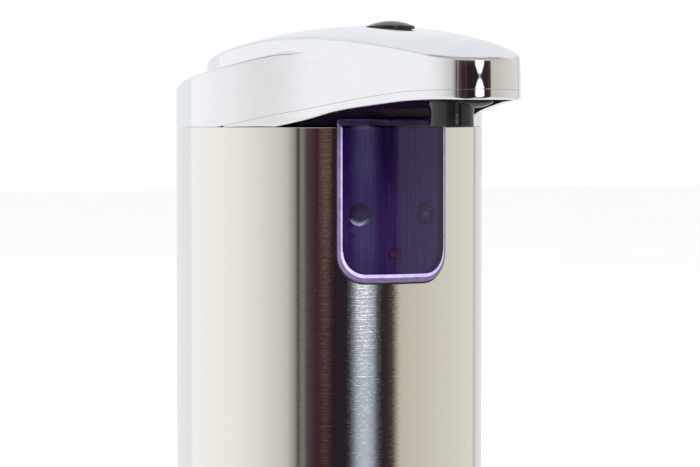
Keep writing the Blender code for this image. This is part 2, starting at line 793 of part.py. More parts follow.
def make_head_trim():
    """The chrome strip between the parting line and the spout's lower edge, as one swept band."""
    rows = []
    for station in spout_stations():
        distance = band_point(station)[1]
        top = smooth_height(PARTING_SHARES, distance) - GAP / 2
        low = max(GAP / 2, smooth_height(RIM_SHARES, distance))
        if top - low < LEAST_STRIP:
            continue
        outer, inner = band_point(station), band_point(station, HEAD_WALL)
        rows.append([placed(outer, low), placed(outer, top), placed(inner, top), placed(inner, low)])
    return finish(skin("head_trim", rows, around=False), CHROME)


def spout_prism(name, inset, low, high):
    outline = []
    for station in spout_stations():
        side, distance = spout_point(station, inset)
        outline.append((side, -distance))
    return plate(name, outline, low, high)


def cove_profile():
    """The panel's section: up from the seam, round the cove, and out flat past the nose."""
    wall = BODY_RADIUS - PANEL_RECESS
    low = SEAM_HEIGHT + GAP / 2
    far = SPOUT_REACH + CUT_OVERRUN
    cove = []
    for step in range(COVE_STEPS + 1):
        turn = pi / 2 * step / COVE_STEPS
        cove.append((1 - cos(turn), 1 - sin(turn)))
    outer = COVE_RADIUS + PANEL_THICKNESS
    under = [(wall + COVE_RADIUS * across, PANEL_LOW - COVE_RADIUS * down) for across, down in cove]
    over = [
        (wall - PANEL_THICKNESS + outer * across, PANEL_TOP - outer * down) for across, down in cove
    ]
    return (
        [(far, PANEL_TOP), (far, PANEL_LOW)]
        + under[::-1]
        + [(wall, low), (wall - PANEL_THICKNESS, low)]
        + over
    )


def make_spout_panel():
    """The black panel under the spout, which curves down to the shell behind the nozzle."""
    panel = turned("spout_panel", cove_profile())
    keep(panel, spout_prism("panel_outline", HEAD_WALL + GAP, SEAM_HEIGHT, PANEL_TOP + CUT_OVERRUN))
    nozzle_at = (0, -NOZZLE_DISTANCE)
    plug_at = (0, -PLUG_DISTANCE)
    over = PANEL_TOP + CUT_OVERRUN
    cut(panel, cylinder("nozzle_hole", STEM_RADIUS + GAP, PANEL_LOW - CUT_OVERRUN, over, nozzle_at))
    cut(panel, cylinder("screw_hole", SCREW_RADIUS + GAP, PANEL_LOW - CUT_OVERRUN, over, plug_at))
    sunk = PANEL_LOW + SCREW_HEAD_HEIGHT + GAP
    cut(panel, cylinder("screw_seat", SCREW_HEAD_RADIUS + GAP, PANEL_LOW - CUT_OVERRUN, sunk, plug_at))
    return finish(panel, BLACK_GLOSS)


def make_nozzle():
    """The hollow nozzle: flared where it leaves the panel, waisted, and wide at its mouth."""
    low = SEAM_HEIGHT + NOZZLE_ABOVE_SEAM
    high = PANEL_LOW - GAP
    tall = high - low
    stem_top = PANEL_TOP + STEM_RISE
    profile = [(NOZZLE_BORE, stem_top), (STEM_RADIUS, stem_top), (STEM_RADIUS, high)]
    for shares, widest in ((NOZZLE_FLARE_SHARES, NOZZLE_FLARE_RADIUS), (NOZZLE_FOOT_SHARES, NOZZLE_RADIUS)):
        for down, out in shares:
            radius = NOZZLE_WAIST_RADIUS + (widest - NOZZLE_WAIST_RADIUS) * out
            profile.append((radius, high - tall * down))
    profile += [(NOZZLE_MOUTH_RADIUS, low), (NOZZLE_BORE, low + tall * NOZZLE_MOUTH_SHARE)]
    return finish(turned("nozzle", profile, (0, -NOZZLE_DISTANCE, 0), MIDDLE_SIDES), BLACK_GLOSS)


def spout_screw_top():
    return PANEL_LOW + SCREW_HEAD_HEIGHT + SPOUT_SCREW_LENGTH


def screw(name, at, seat, length, up):
    """A screw whose head rests at a seat level, its shank going up or down from there."""
    way = 1 if up else -1
    tip = seat + way * length
    outline = [
        (0, seat - way * SCREW_HEAD_HEIGHT),
        (SCREW_HEAD_RADIUS, seat - way * SCREW_HEAD_HEIGHT),
        (SCREW_HEAD_RADIUS, seat),
        (SCREW_RADIUS, seat),
        (SCREW_RADIUS, tip - way * SCREW_RADIUS),
        (0, tip),
    ]
    return finish(turned(name, outline[::-1] if up else outline, (*at, 0), SMALL_SIDES // 2), STEEL)


def make_spout_fixing():
    screw("spout_screw", (0, -PLUG_DISTANCE), PANEL_LOW + SCREW_HEAD_HEIGHT, SPOUT_SCREW_LENGTH, up=True)
    top = PANEL_LOW - GAP
    profile = [(0, top), (PLUG_RADIUS, top), (PLUG_RADIUS, top - PLUG_EDGE)]
    sag = PLUG_HEIGHT - PLUG_EDGE
    for step in range(1, COVE_STEPS + 1):
        across = cos(pi / 2 * step / COVE_STEPS) if step < COVE_STEPS else 0
        profile.append((PLUG_RADIUS * across, top - PLUG_EDGE - sag * (1 - across**2)))
    finish(turned("screw_plug", profile, (0, -PLUG_DISTANCE, 0), MIDDLE_SIDES), BLACK_GLOSS)


def make_collar_ring():
    """The ring that centres the head on the shell, open in front for the window and the panel."""
    seam = SEAM_HEIGHT
    below = SHELL_BORE - GAP
    above = BODY_RADIUS - HEAD_WALL - GAP
    bore = above - COLLAR_WALL
    profile = [
        (above, seam + COLLAR_RISE),
        (above, seam - GAP),
        (below, seam - GAP),
        (below, seam - COLLAR_DEPTH),
        (bore, seam - COLLAR_DEPTH),
        (bore, seam + COLLAR_RISE),
    ]
    collar = turned("collar_ring", profile)
    reach = BODY_RADIUS * 2
    half = reach * tan(COLLAR_OPEN_ANGLE)
    wedge = plate(
        "collar_opening",
        [(0, 0), (-half, -reach), (half, -reach)],
        seam - COLLAR_DEPTH - CUT_OVERRUN,
        seam + COLLAR_RISE + CUT_OVERRUN,
    )
    return finish(cut(collar, wedge), BLACK_MATT)


def rounded_window(grow, top):
    """The window's outline as (side, height above the seam) points, grown by a clearance."""
    half = WINDOW_HALF_WIDTH + grow
    low = -WINDOW_DROP - grow
    corner = WINDOW_CORNER + grow
    small = WINDOW_TOP_CORNER
    points = []
    for centre_side, centre_height, radius, start in (
        (half - small, top - small, small, 0),
        (small - half, top - small, small, pi / 2),
        (corner - half, low + corner, corner, pi),
        (half - corner, low + corner, corner, pi * 3 / 2),
    ):
        for i in range(WINDOW_CORNER_POINTS + 1):
            turn = start + pi / 2 * i / WINDOW_CORNER_POINTS
            points.append((centre_side + radius * cos(turn), centre_height + radius * sin(turn)))
    return points


def wrapped(obj, radius, front):
    """Bends a flat plate round the body's axis: x becomes an arc at radius, and z a distance from front."""
    shape = bmesh.new()
    shape.from_mesh(obj.data)
    shape.transform(obj.matrix_world)
    reach = max(abs(vert.co.x) for vert in shape.verts)
    for i in range(1, WINDOW_STRIPS):
        side = reach * (2 * i / WINDOW_STRIPS - 1)
        everything = list(shape.verts) + list(shape.edges) + list(shape.faces)
        bmesh.ops.bisect_plane(shape, geom=everything, plane_co=(side, 0, 0), plane_no=(1, 0, 0))
    for vert in shape.verts:
        turn = vert.co.x / radius
        out = front + vert.co.z
        vert.co = (out * sin(turn), -out * cos(turn), SEAM_HEIGHT + vert.co.y)
    shape.to_mesh(obj.data)
    shape.free()
    obj.matrix_world = Matrix.Identity(4)
    obj.data.update()
    return obj


def window_plate(name, grow, top, back, front, bevel=0):
    """The window's outline as a curved plate between two distances from the body's axis."""
    flat = plate(name, rounded_window(grow, top), back - BODY_RADIUS, front - BODY_RADIUS)
    if bevel:
        shape = bmesh.new()
        shape.from_mesh(flat.data)
        highest = max(vert.co.z for vert in shape.verts)
        faces = [face for face in shape.faces if min(v.co.z for v in face.verts) > highest - MERGE_DISTANCE]
        bmesh.ops.inset_region(shape, faces=faces, thickness=bevel, depth=0)
        shape.to_mesh(flat.data)
        shape.free()
        for vert in flat.data.vertices:
            on_border = vert.co.z > highest - MERGE_DISTANCE and touches_side(flat.data, vert, highest)
            if on_border:
                vert.co.z = highest - WINDOW_PROUD
    return wrapped(flat, BODY_RADIUS, BODY_RADIUS)


def touches_side(mesh, vert, highest):
    """Whether an edge of the mesh joins this point to one below the front face."""
    return any(
        vert.index in edge.vertices
        and min(mesh.vertices[i].co.z for i in edge.vertices) < highest - WINDOW_PROUD - MERGE_DISTANCE
        for edge in mesh.edges
    )


def make_sensor_window():
    window = window_plate(
        "sensor_window", 0, WINDOW_RISE, WINDOW_RADIUS - WINDOW_THICKNESS, WINDOW_RADIUS, WINDOW_BEVEL
    )
    return finish(window, PURPLE_CLEAR)


def make_body_shell():
    """The steel tube, notched at its top edge for the sensor window."""
    top = SEAM_HEIGHT - GAP / 2
    profile = [
        (BODY_RADIUS, top), (BODY_RADIUS, SHELL_LOW), (SHELL_BORE, SHELL_LOW), (SHELL_BORE, top),
    ]
    shell = turned("body_shell", profile)
    back, front = SHELL_BORE - CUT_OVERRUN, WINDOW_RADIUS + CUT_OVERRUN
    notch = window_plate("window_notch", GAP, WINDOW_RISE + CUT_OVERRUN, back, front)
    return finish(cut(shell, notch), STEEL)


def eye_place(turn, out):
    return (out * sin(turn), -out * cos(turn))


def pointing_out(name, profile, turn, foot, height):
    """A turned piece whose axis points outward from the body at a turn from straight ahead."""
    piece = turned(name, profile, steps=SMALL_SIDES)
    x, y = eye_place(turn, foot)
    piece.rotation_euler = (pi / 2, 0, turn)
    piece.location = (x, y, SEAM_HEIGHT + height)
    return piece


def lens_profile(radius, length):
    """A round lens: a base flange, a straight body and a domed tip."""
    profile = [(0, length)]
    for step in range(1, ROUNDING_STEPS + 1):
        turn = pi / 2 * step / ROUNDING_STEPS
        profile.append((radius * sin(turn), length - radius / 2 * (1 - cos(turn))))
    flange = radius + LENS_BASE_RADIUS
    return profile + [(radius, LENS_BASE_HEIGHT), (flange, LENS_BASE_HEIGHT), (flange, 0), (0, 0)]


def make_sensor_group():
    """The bracket behind the window, its board, the infrared pair and the status lamp."""
    front = BRACKET_RADIUS
    back = front - BRACKET_THICKNESS
    bracket = window_plate("sensor_bracket", BRACKET_MARGIN, -GAP, back, front)
    board_front = SENSOR_BOARD_FRONT * cos(EYE_ANGLE)
    for name, turn, drop, radius, look in (
        ("ir_emitter", -EYE_ANGLE, EYE_DROP, EYE_RADIUS, LENS_DARK),
        ("ir_receiver", EYE_ANGLE, EYE_DROP, EYE_RADIUS, LENS_DARK),
        ("status_led", 0.0, LAMP_DROP, LAMP_RADIUS, LAMP_RED),
    ):
        foot = board_front / cos(turn) + (radius + LENS_BASE_RADIUS) * abs(tan(turn)) + GAP
        length = front - foot - GAP
        finish(pointing_out(name, lens_profile(radius, length), turn, foot, -drop), look)
        wide, far = radius + GAP, CUT_OVERRUN * 4
        bore = [(0, far), (wide, far), (wide, -CUT_OVERRUN), (0, -CUT_OVERRUN)]
        cut(bracket, pointing_out(name + "_hole", bore, turn, back - CUT_OVERRUN, -drop))
    finish(bracket, BLACK_GLOSS)
    half = WINDOW_HALF_WIDTH - SENSOR_BOARD_MARGIN
    board = block(
        "sensor_board",
        (-half, -board_front, SENSOR_BOARD_LOW),
        (half, BOARD_THICKNESS - board_front, SEAM_HEIGHT - EYE_DROP + EYE_RADIUS * 2),
    )
    finish(board, BOARD_GREEN)


def tank_outline(inset):
    """The tank's D-shaped plan: round at the back and flat in front."""
    radius = TANK_RADIUS - inset
    front = TANK_FRONT - inset
    corner = TANK_CORNER - inset / 2
    reach = radius - corner
    side = sqrt(reach**2 - (front - corner) ** 2)
    meet = atan2(-(front - corner), side)
    points = []
    count = TANK_SIDES
    sweep = pi - 2 * meet
    for i in range(count + 1):
        turn = meet + sweep * i / count
        points.append((radius * cos(turn), radius * sin(turn)))
    for sign in (-1, 1):
        start = pi - meet if sign < 0 else pi * 3 / 2
        end = pi * 3 / 2 if sign < 0 else 2 * pi + meet
        for i in range(1, COVE_STEPS):
            turn = start + (end - start) * i / COVE_STEPS
            points.append((sign * side + corner * cos(turn), -(front - corner) + corner * sin(turn)))
        if sign < 0:
            points.append((-side, -front))
            points.append((side, -front))
    return points


def cap_low():
    """The underside of the refill cap, where its gasket lies."""
    lateral = 1 - (CAP_RADIUS / SPOUT_REAR_RADIUS) ** 2
    crest = smooth_height(CREST_SHARES, 0)
    edge = crest + (smooth_height(RIDGE_SHARES, 0) - crest) * lateral
    return SEAM_HEIGHT + edge - CAP_EDGE


def make_soap_tank():
    """The tank as a deep cup with a drain, its lid, and the filler neck that stands in the lid."""
    cup_top = TANK_TOP - LID_THICKNESS - GAP
    tank = plate("soap_tank", tank_outline(0), TANK_LOW, cup_top)
    cut(tank, plate("tank_room", tank_outline(TANK_WALL), TANK_LOW + TANK_WALL, TANK_TOP))
    drain_radius = PORT_RADIUS + PORT_WALL + GAP
    drain_top = TANK_LOW + TANK_WALL * 2
    cut(tank, cylinder("drain", drain_radius, TANK_LOW - CUT_OVERRUN, drain_top, (MESH_X, PORT_OFFSET)))
    finish(tank, CLEAR_PLASTIC)
    neck_at = (0, NECK_OFFSET)
    neck_outer = NECK_BORE + NECK_WALL
    lid_low = TANK_TOP - LID_THICKNESS
    lid = plate("tank_lid", tank_outline(0), lid_low, TANK_TOP)
    hole = neck_outer + GAP
    over = TANK_TOP + CUT_OVERRUN
    cut(lid, cylinder("lid_hole", hole, lid_low - CUT_OVERRUN, over, neck_at, MIDDLE_SIDES))
    finish(lid, CLEAR_PLASTIC)
    neck_top = cap_low() - GASKET_HEIGHT - GAP * 2
    flange_low = TANK_TOP + GAP
    flange_top = flange_low + NECK_FLANGE_HEIGHT
    profile = [
        (neck_outer, neck_top),
        (neck_outer, flange_top),
        (neck_outer + NECK_FLANGE, flange_top),
        (neck_outer + NECK_FLANGE, flange_low),
        (neck_outer, flange_low),
        (neck_outer, lid_low),
        (NECK_BORE, lid_low),
        (NECK_BORE, neck_top),
    ]
    return finish(turned("filler_neck", profile, (*neck_at, 0), MIDDLE_SIDES), CLEAR_PLASTIC)


def make_board_bracket():
    """The bracket on the tank's flat front, whose two ribs carry the main board."""
    back = -TANK_FRONT - GAP
    plate_front = back - RIB_PLATE_THICKNESS
    rib_front = GAP - MAIN_BOARD_BACK
    low = MAIN_BOARD_LOW
    half = RIB_HALF_SPACING + RIB_WIDTH / 2
    first = (-half - GAP, plate_front, low - GAP)
    second = (half + GAP, back, low + RIB_LENGTH + GAP)
    bracket = block("board_bracket", first, second)
    for name, sign in (("left_rib", -1), ("right_rib", 1)):
        middle = sign * RIB_HALF_SPACING
        rib = block(
            name,
            (middle - RIB_WIDTH / 2, rib_front, low),
            (middle + RIB_WIDTH / 2, back - RIB_PLATE_THICKNESS / 2, low + RIB_LENGTH),
        )
        join(bracket, rib)
    return finish(bracket, BLACK_MATT)


def make_refill_cap():
    """The flush round cap: the head's own dome on a stopper skirt, with a finger notch at the back."""
    at = (0, NECK_OFFSET)
    over = SEAM_HEIGHT + HEAD_HEIGHT + CUT_OVERRUN
    cap = cylinder("refill_cap", CAP_RADIUS, cap_low(), over, at, ROUND_SIDES)
    keep(cap, head_solid("dome"))
    skirt_low = cap_low() - CAP_SKIRT_DEPTH
    skirt_top = cap_low() + CAP_EDGE / 2
    join(cap, cylinder("skirt", CAP_SKIRT_RADIUS, skirt_low, skirt_top, at, MIDDLE_SIDES))
    bore = CAP_SKIRT_RADIUS - CAP_SKIRT_WALL
    bore_top = cap_low() + CAP_EDGE / 3
    cut(cap, cylinder("skirt_bore", bore, skirt_low - CUT_OVERRUN, bore_top, at, MIDDLE_SIDES))
    notch_y = NECK_OFFSET + CAP_RADIUS - NOTCH_INSET + NOTCH_RADIUS / 2
    notch_low = SEAM_HEIGHT + smooth_height(RIDGE_SHARES, 0) - NOTCH_DEPTH * 2
    cut(cap, cylinder("notch", NOTCH_RADIUS, notch_low, over, (0, notch_y)))
    finish(cap, CHROME)
    low = cap_low() - GAP - GASKET_HEIGHT
    inner, outer = CAP_SKIRT_RADIUS + GAP, CAP_RADIUS - GAP
    profile = [(outer, low + GASKET_HEIGHT), (outer, low), (inner, low), (inner, low + GASKET_HEIGHT)]
    return finish(turned("refill_gasket", profile, (*at, 0), MIDDLE_SIDES), RUBBER)


def make_button_group():
    """The dome button in its sleeve, the plunger it presses, the switch and the small board under them."""
    at = (0, -BUTTON_DISTANCE)
    edge = button_edge()
    profile = [(0, edge + BUTTON_PROUD)]
    for step in range(1, COVE_STEPS + 1):
        share = step / COVE_STEPS
        profile.append((BUTTON_RADIUS * share, edge + BUTTON_PROUD * (1 - share**2)))
    low = button_low()
    flange_top = low + BUTTON_FLANGE_HEIGHT
    wide = BUTTON_RADIUS + BUTTON_FLANGE
    profile += [(BUTTON_RADIUS, flange_top), (wide, flange_top), (wide, low), (0, low)]
    finish(turned("power_button", profile, (*at, 0), MIDDLE_SIDES), BLACK_GLOSS)
    plunger_top = low - GAP
    board_top = sleeve_low() - GAP
    switch_low = board_top + GAP
    switch_top = switch_low + SWITCH_HEIGHT
    plunger_low = switch_top - PLUNGER_DEPTH
    plunger = cylinder("switch_plunger", PLUNGER_RADIUS, plunger_low, plunger_top, at)
    finish(plunger, BLACK_MATT)
    half = SWITCH_WIDTH / 2
    front, back = -BUTTON_DISTANCE - half, half - BUTTON_DISTANCE
    switch = block("button_switch", (-half, front, switch_low), (half, back, switch_top))
    hole_low = plunger_low - BUTTON_TRAVEL - GAP
    cut(switch, cylinder("plunger_hole", PLUNGER_RADIUS + GAP, hole_low, switch_top + CUT_OVERRUN, at))
    finish(switch, STEEL)
    board = cylinder(
        "button_board",
        BUTTON_RADIUS + GAP + BUTTON_FLANGE + BUTTON_SLEEVE_WALL,
        board_top - BOARD_THICKNESS,
        board_top,
        at,
        MIDDLE_SIDES,
    )
    finish(board, BOARD_GREEN)


def make_main_board():
    """The main board, with its one chip, in front of the bracket's ribs."""
    front, low = -MAIN_BOARD_FRONT, MAIN_BOARD_LOW
    middle = low + MAIN_BOARD_HEIGHT / 2
    board = block(
        "main_board",
        (-MAIN_BOARD_HALF_WIDTH, front, low),
        (MAIN_BOARD_HALF_WIDTH, -MAIN_BOARD_BACK, low + MAIN_BOARD_HEIGHT),
    )
    chip = block(
        "chip",
        (-CHIP_WIDTH / 2, front - CHIP_HEIGHT, middle - CHIP_WIDTH / 2),
        (CHIP_WIDTH / 2, front + BOARD_THICKNESS / 2, middle + CHIP_WIDTH / 2),
    )
    join(board, chip)
    finish(board, BOARD_GREEN)


def tooth_outline(start):
    """One gear's outline, its teeth involute, with the first tooth centred on a start angle."""
    base = GEAR_PITCH_RADIUS * cos(GEAR_PRESSURE_ANGLE)
    half_tooth = pi / GEAR_TEETH / 2 - GEAR_BACKLASH / 2 / GEAR_PITCH_RADIUS
    spread = half_tooth + tan(GEAR_PRESSURE_ANGLE) - GEAR_PRESSURE_ANGLE
    flank = [(GEAR_ROOT_RADIUS, spread)]
    for i in range(FLANK_POINTS):
        radius = base + (GEAR_TIP_RADIUS - base) * i / (FLANK_POINTS - 1)
        press = acos(min(1.0, base / radius))
        flank.append((radius, spread - (tan(press) - press)))
    points = []
    for tooth in range(GEAR_TEETH):
        middle = start + 2 * pi * tooth / GEAR_TEETH
        rising = [(radius, middle - turn) for radius, turn in flank]
        falling = [(radius, middle + turn) for radius, turn in flank[::-1]]
        for radius, turn in rising + falling:
            points.append((radius * cos(turn), radius * sin(turn)))
    return points


def gear(name, at, start, bore):
    """A spur gear about its own axis at a place in the pump."""
    wheel = plate(name, tooth_outline(start), GEAR_LOW, GEAR_LOW + GEAR_THICKNESS, at)
    over = GEAR_LOW + GEAR_THICKNESS + CUT_OVERRUN
    cut(wheel, cylinder(name + "_bore", bore, GEAR_LOW - CUT_OVERRUN, over, at))
    return finish(wheel, WHITE_PLASTIC)


def pump_outline(radius):
    """The outline round both gears: two circles and their common tangents."""
    points = []
    for i in range(SMALL_SIDES + 1):
        turn = pi / 2 + pi * i / SMALL_SIDES
        points.append((radius * cos(turn), radius * sin(turn)))
    for i in range(SMALL_SIDES + 1):
        turn = -pi / 2 + pi * i / SMALL_SIDES
        points.append((GEAR_CENTRES + radius * cos(turn), radius * sin(turn)))
    return points


def pump_screw_places():
    """Two lugs of the pump, left and right of its gears."""
    reach = POCKET_RADIUS + PUMP_WALL + SCREW_HEAD_RADIUS
    return [(-reach, 0), (GEAR_CENTRES + reach, 0)]


def make_pump():
    """The gear pump: a pocket for two meshed gears, a cover with the inlet, and an outlet in front."""
    housing = plate("pump_housing", pump_outline(PUMP_HALF_DEPTH), PUMP_LOW, PUMP_TOP)
    lug_radius = SCREW_HEAD_RADIUS + PUMP_WALL / 2
    for i, at in enumerate(pump_screw_places()):
        low, high = PUMP_LOW + PUMP_LUG_STEP, PUMP_TOP - PUMP_LUG_STEP
        join(housing, cylinder(f"housing_lug_{i}", lug_radius, low, high, at))
    pocket_low = PUMP_TOP - GEAR_POCKET_DEPTH
    outlet_z = pocket_low + GEAR_POCKET_DEPTH / 2
    outlet_end = -PUMP_HALF_DEPTH - OUTLET_REACH
    spout = level_bar("outlet_spigot", TUBE_BORE - GAP, outlet_z, outlet_end, -POCKET_RADIUS)
    join(housing, spout)
    for i, centre in enumerate((0.0, GEAR_CENTRES)):
        pocket = cylinder(
            f"pocket_{i}", POCKET_RADIUS, pocket_low, PUMP_TOP + CUT_OVERRUN, (centre, 0), MIDDLE_SIDES
        )
        cut(housing, pocket)
    channel = level_bar(
        "outlet_channel", TUBE_BORE / 2, outlet_z, outlet_end - CUT_OVERRUN, -POCKET_RADIUS / 3
    )
    cut(housing, channel)
    under = PUMP_LOW - CUT_OVERRUN
    cut(housing, cylinder("shaft_hole", SHAFT_RADIUS + GAP, under, pocket_low + CUT_OVERRUN))
    seal_room = PUMP_LOW + SHAFT_SEAL_HEIGHT + GAP
    cut(housing, cylinder("seal_room", SHAFT_SEAL_RADIUS + GAP, under, seal_room))
    pin_hole_low = PUMP_LOW + PUMP_FLOOR / 3
    pin_bore = IDLER_PIN_RADIUS + SHAFT_CLEARANCE
    idler_at = (GEAR_CENTRES, 0)
    cut(housing, cylinder("pin_hole", pin_bore, pin_hole_low, pocket_low + CUT_OVERRUN, idler_at))
    for i, at in enumerate(pump_screw_places()):
        over = PUMP_TOP + CUT_OVERRUN
        hole = SCREW_RADIUS + SHAFT_CLEARANCE
        cut(housing, cylinder(f"housing_hole_{i}", hole, PUMP_LOW - CUT_OVERRUN, over, at))
    finish(housing, WHITE_PLASTIC)
    make_pump_cover(lug_radius)
    profile_top = PUMP_LOW + SHAFT_SEAL_HEIGHT
    inner = SHAFT_RADIUS + SHAFT_CLEARANCE
    outer = SHAFT_SEAL_RADIUS
    seal = [(outer, profile_top), (outer, PUMP_LOW), (inner, PUMP_LOW), (inner, profile_top)]
    finish(turned("shaft_seal", seal, steps=SMALL_SIDES), RUBBER)
    gear("drive_gear", (0, 0), 0.0, SHAFT_RADIUS + SHAFT_CLEARANCE)
    gear("idler_gear", idler_at, pi / GEAR_TEETH, pin_bore)
    pin_low = pin_hole_low + SHAFT_CLEARANCE
    pin_top = GEAR_LOW + GEAR_THICKNESS
    finish(cylinder("idler_pin", IDLER_PIN_RADIUS, pin_low, pin_top, idler_at), STEEL)


def level_bar(name, radius, height, front, back):
    """A round bar along Y through the pump's mesh line, from front to back."""
    bar = cylinder(name, radius, 0, back - front, sides=SMALL_SIDES)
    bar.rotation_euler = (pi / 2, 0, 0)
    bar.location = (MESH_X, (front + back) / 2, height)
    return bar


def make_pump_cover(lug_radius):
    cover = plate("pump_cover", pump_outline(PUMP_HALF_DEPTH), PUMP_COVER_LOW, PUMP_COVER_TOP)
    inlet_at = (MESH_X, PORT_OFFSET)
    for i, at in enumerate(pump_screw_places()):
        low, high = PUMP_COVER_LOW + PUMP_LUG_STEP, PUMP_COVER_TOP - PUMP_LUG_STEP
        join(cover, cylinder(f"cover_lug_{i}", lug_radius, low, high, at))
    spigot_top = PUMP_COVER_TOP + SPIGOT_RISE
    spigot_low = PUMP_COVER_LOW + PUMP_COVER_THICKNESS / 2
    join(cover, cylinder("inlet_spigot", PORT_RADIUS + PORT_WALL, spigot_low, spigot_top, inlet_at))
    over = spigot_top + CUT_OVERRUN
    cut(cover, cylinder("inlet", PORT_RADIUS, PUMP_COVER_LOW - CUT_OVERRUN, over, inlet_at))
    for i, at in enumerate(pump_screw_places()):
        under = PUMP_COVER_LOW - CUT_OVERRUN
        cut(cover, cylinder(f"cover_hole_{i}", SCREW_RADIUS + GAP, under, PUMP_COVER_TOP + CUT_OVERRUN, at))
        seat = PUMP_COVER_TOP - SCREW_HEAD_HEIGHT - GAP
        room = cylinder(f"cover_seat_{i}", SCREW_HEAD_RADIUS + GAP, seat, PUMP_COVER_TOP + CUT_OVERRUN, at)
        cut(cover, room)
        screw(f"pump_screw_{i + 1}", at, seat + GAP, SHORT_SCREW_LENGTH, up=False)
    finish(cover, WHITE_PLASTIC)
    inner = PORT_RADIUS + PORT_WALL + GAP
    low = PUMP_COVER_TOP + GAP
    high = low + TANK_SEAL_HEIGHT
    outer = inner + TANK_SEAL_WALL
    profile = [(outer, high), (outer, low), (inner, low), (inner, high)]
    finish(turned("tank_seal", profile, (*inlet_at, 0), SMALL_SIDES), RUBBER)


def make_motor():
    """The motor can with its flats and front boss, and the shaft that carries the drive gear."""
    limit = acos(MOTOR_HALF_FLATS / MOTOR_RADIUS)
    outline = []
    for start in (limit - pi / 2, limit + pi / 2):
        for i in range(SMALL_SIDES // 2 + 1):
            turn = start + (pi - 2 * limit) * i / (SMALL_SIDES // 2)
            outline.append((MOTOR_RADIUS * cos(turn), MOTOR_RADIUS * sin(turn)))
    motor = plate("motor", outline, MOTOR_LOW, MOTOR_TOP)
    boss_top = MOTOR_TOP + MOTOR_BOSS_HEIGHT
    join(motor, cylinder("motor_boss", MOTOR_BOSS_RADIUS, MOTOR_TOP - MOTOR_BOSS_HEIGHT, boss_top))
    for i, sign in enumerate((-1, 1)):
        middle = sign * TERMINAL_SPREAD
        terminal = block(
            f"terminal_{i}",
            (middle - TERMINAL_WIDTH / 2, -TERMINAL_THICKNESS / 2, MOTOR_LOW - TERMINAL_LENGTH),
            (middle + TERMINAL_WIDTH / 2, TERMINAL_THICKNESS / 2, MOTOR_LOW + TERMINAL_LENGTH / 2),
        )
        join(motor, terminal)
    shaft_low = MOTOR_TOP - SHAFT_DEPTH
    wide = SHAFT_RADIUS + SHAFT_CLEARANCE
    bore = cylinder("motor_bore", wide, shaft_low - SHAFT_CLEARANCE, boss_top + CUT_OVERRUN)
    finish(cut(motor, bore), STEEL)
    shaft_top = GEAR_LOW + GEAR_THICKNESS
    finish(cylinder("motor_shaft", SHAFT_RADIUS, shaft_low, shaft_top), STEEL)


def cell_places():
    return ring(CELL_RING_RADIUS, CELL_COUNT, pi / CELL_COUNT)


def post_places():
    return ring(POST_RING_RADIUS, 2, pi / 2)


def make_chassis():
    """The chassis: a deck on a round skirt, four battery wells, a motor sleeve and two screw posts."""
    profile = [
        (0, DECK_TOP), (CHASSIS_RADIUS, DECK_TOP), (CHASSIS_RADIUS, SHELL_LOW),
        (SKIRT_BORE, SHELL_LOW), (SKIRT_BORE, DECK_LOW), (0, DECK_LOW),
    ]
    chassis = turned("chassis", profile)
    for i, at in enumerate(cell_places()):
        join(chassis, cylinder(f"well_{i}", WELL_RADIUS + WELL_WALL, WELL_LOW, WELL_TOP, at))
    sleeve = MOTOR_RADIUS + GAP + SLEEVE_WALL
    sleeve_end = MOTOR_LOW + MOTOR_LENGTH / 3
    inside_deck = DECK_LOW + DECK_THICKNESS / 2
    join(chassis, cylinder("motor_sleeve", sleeve, sleeve_end, inside_deck, sides=MIDDLE_SIDES))
    for i, at in enumerate(post_places()):
        join(chassis, cylinder(f"post_{i}", POST_RADIUS, PLATE_TOP + GAP, inside_deck, at))
    for i, at in enumerate(cell_places()):
        cut(chassis, cylinder(f"well_bore_{i}", WELL_RADIUS, WELL_LOW - CUT_OVERRUN, WELL_CEILING, at))
    room_low = sleeve_end - CUT_OVERRUN
    cut(chassis, cylinder("motor_room", MOTOR_RADIUS + GAP, room_low, DECK_LOW, sides=MIDDLE_SIDES))
    boss = MOTOR_BOSS_RADIUS + GAP
    cut(chassis, cylinder("boss_room", boss, DECK_LOW - CUT_OVERRUN, DECK_TOP + CUT_OVERRUN))
    for i, at in enumerate(post_places()):
        top = PLATE_TOP + SHORT_SCREW_LENGTH + GAP
        cut(chassis, cylinder(f"post_hole_{i}", SCREW_RADIUS + SHAFT_CLEARANCE, PLATE_TOP, top, at))
    for i in range(LUG_COUNT):
        add_bayonet_slot(chassis, i)
    return finish(chassis, BLACK_MATT)


def arc_plate(name, inner, outer, start, end, low, high):
    """A curved bar between two radii and two angles."""
    steps = max(3, round((end - start) / (2 * pi) * ROUND_SIDES))
    turns = [start + (end - start) * i / steps for i in range(steps + 1)]
    outline = [(outer * cos(turn), outer * sin(turn)) for turn in turns]
    outline += [(inner * cos(turn), inner * sin(turn)) for turn in turns[::-1]]
    return plate(name, outline, low, high)


def lug_levels():
    top = BASE_HEIGHT + UPSTAND_RISE - LUG_DROP
    return top - LUG_HEIGHT, top


def add_bayonet_slot(chassis, index):
    """A slot for one lug: a level run for the twist, and a way down out of the skirt at its end."""
    low, high = lug_levels()
    middle = LUG_START + 2 * pi * index / LUG_COUNT
    spare = GAP / SKIRT_BORE
    start = middle - LUG_HALF_ANGLE - spare
    end = middle + LUG_HALF_ANGLE + TWIST_ANGLE + spare
    inner, outer = SKIRT_BORE - CUT_OVERRUN / 2, CHASSIS_RADIUS + CUT_OVERRUN
    cut(chassis, arc_plate(f"slot_{index}", inner, outer, start, end, low - GAP, high + GAP))
    entry = end - 2 * (LUG_HALF_ANGLE + spare)
    cut(chassis, arc_plate(f"entry_{index}", inner, outer, entry, end, SHELL_LOW - CUT_OVERRUN, low))


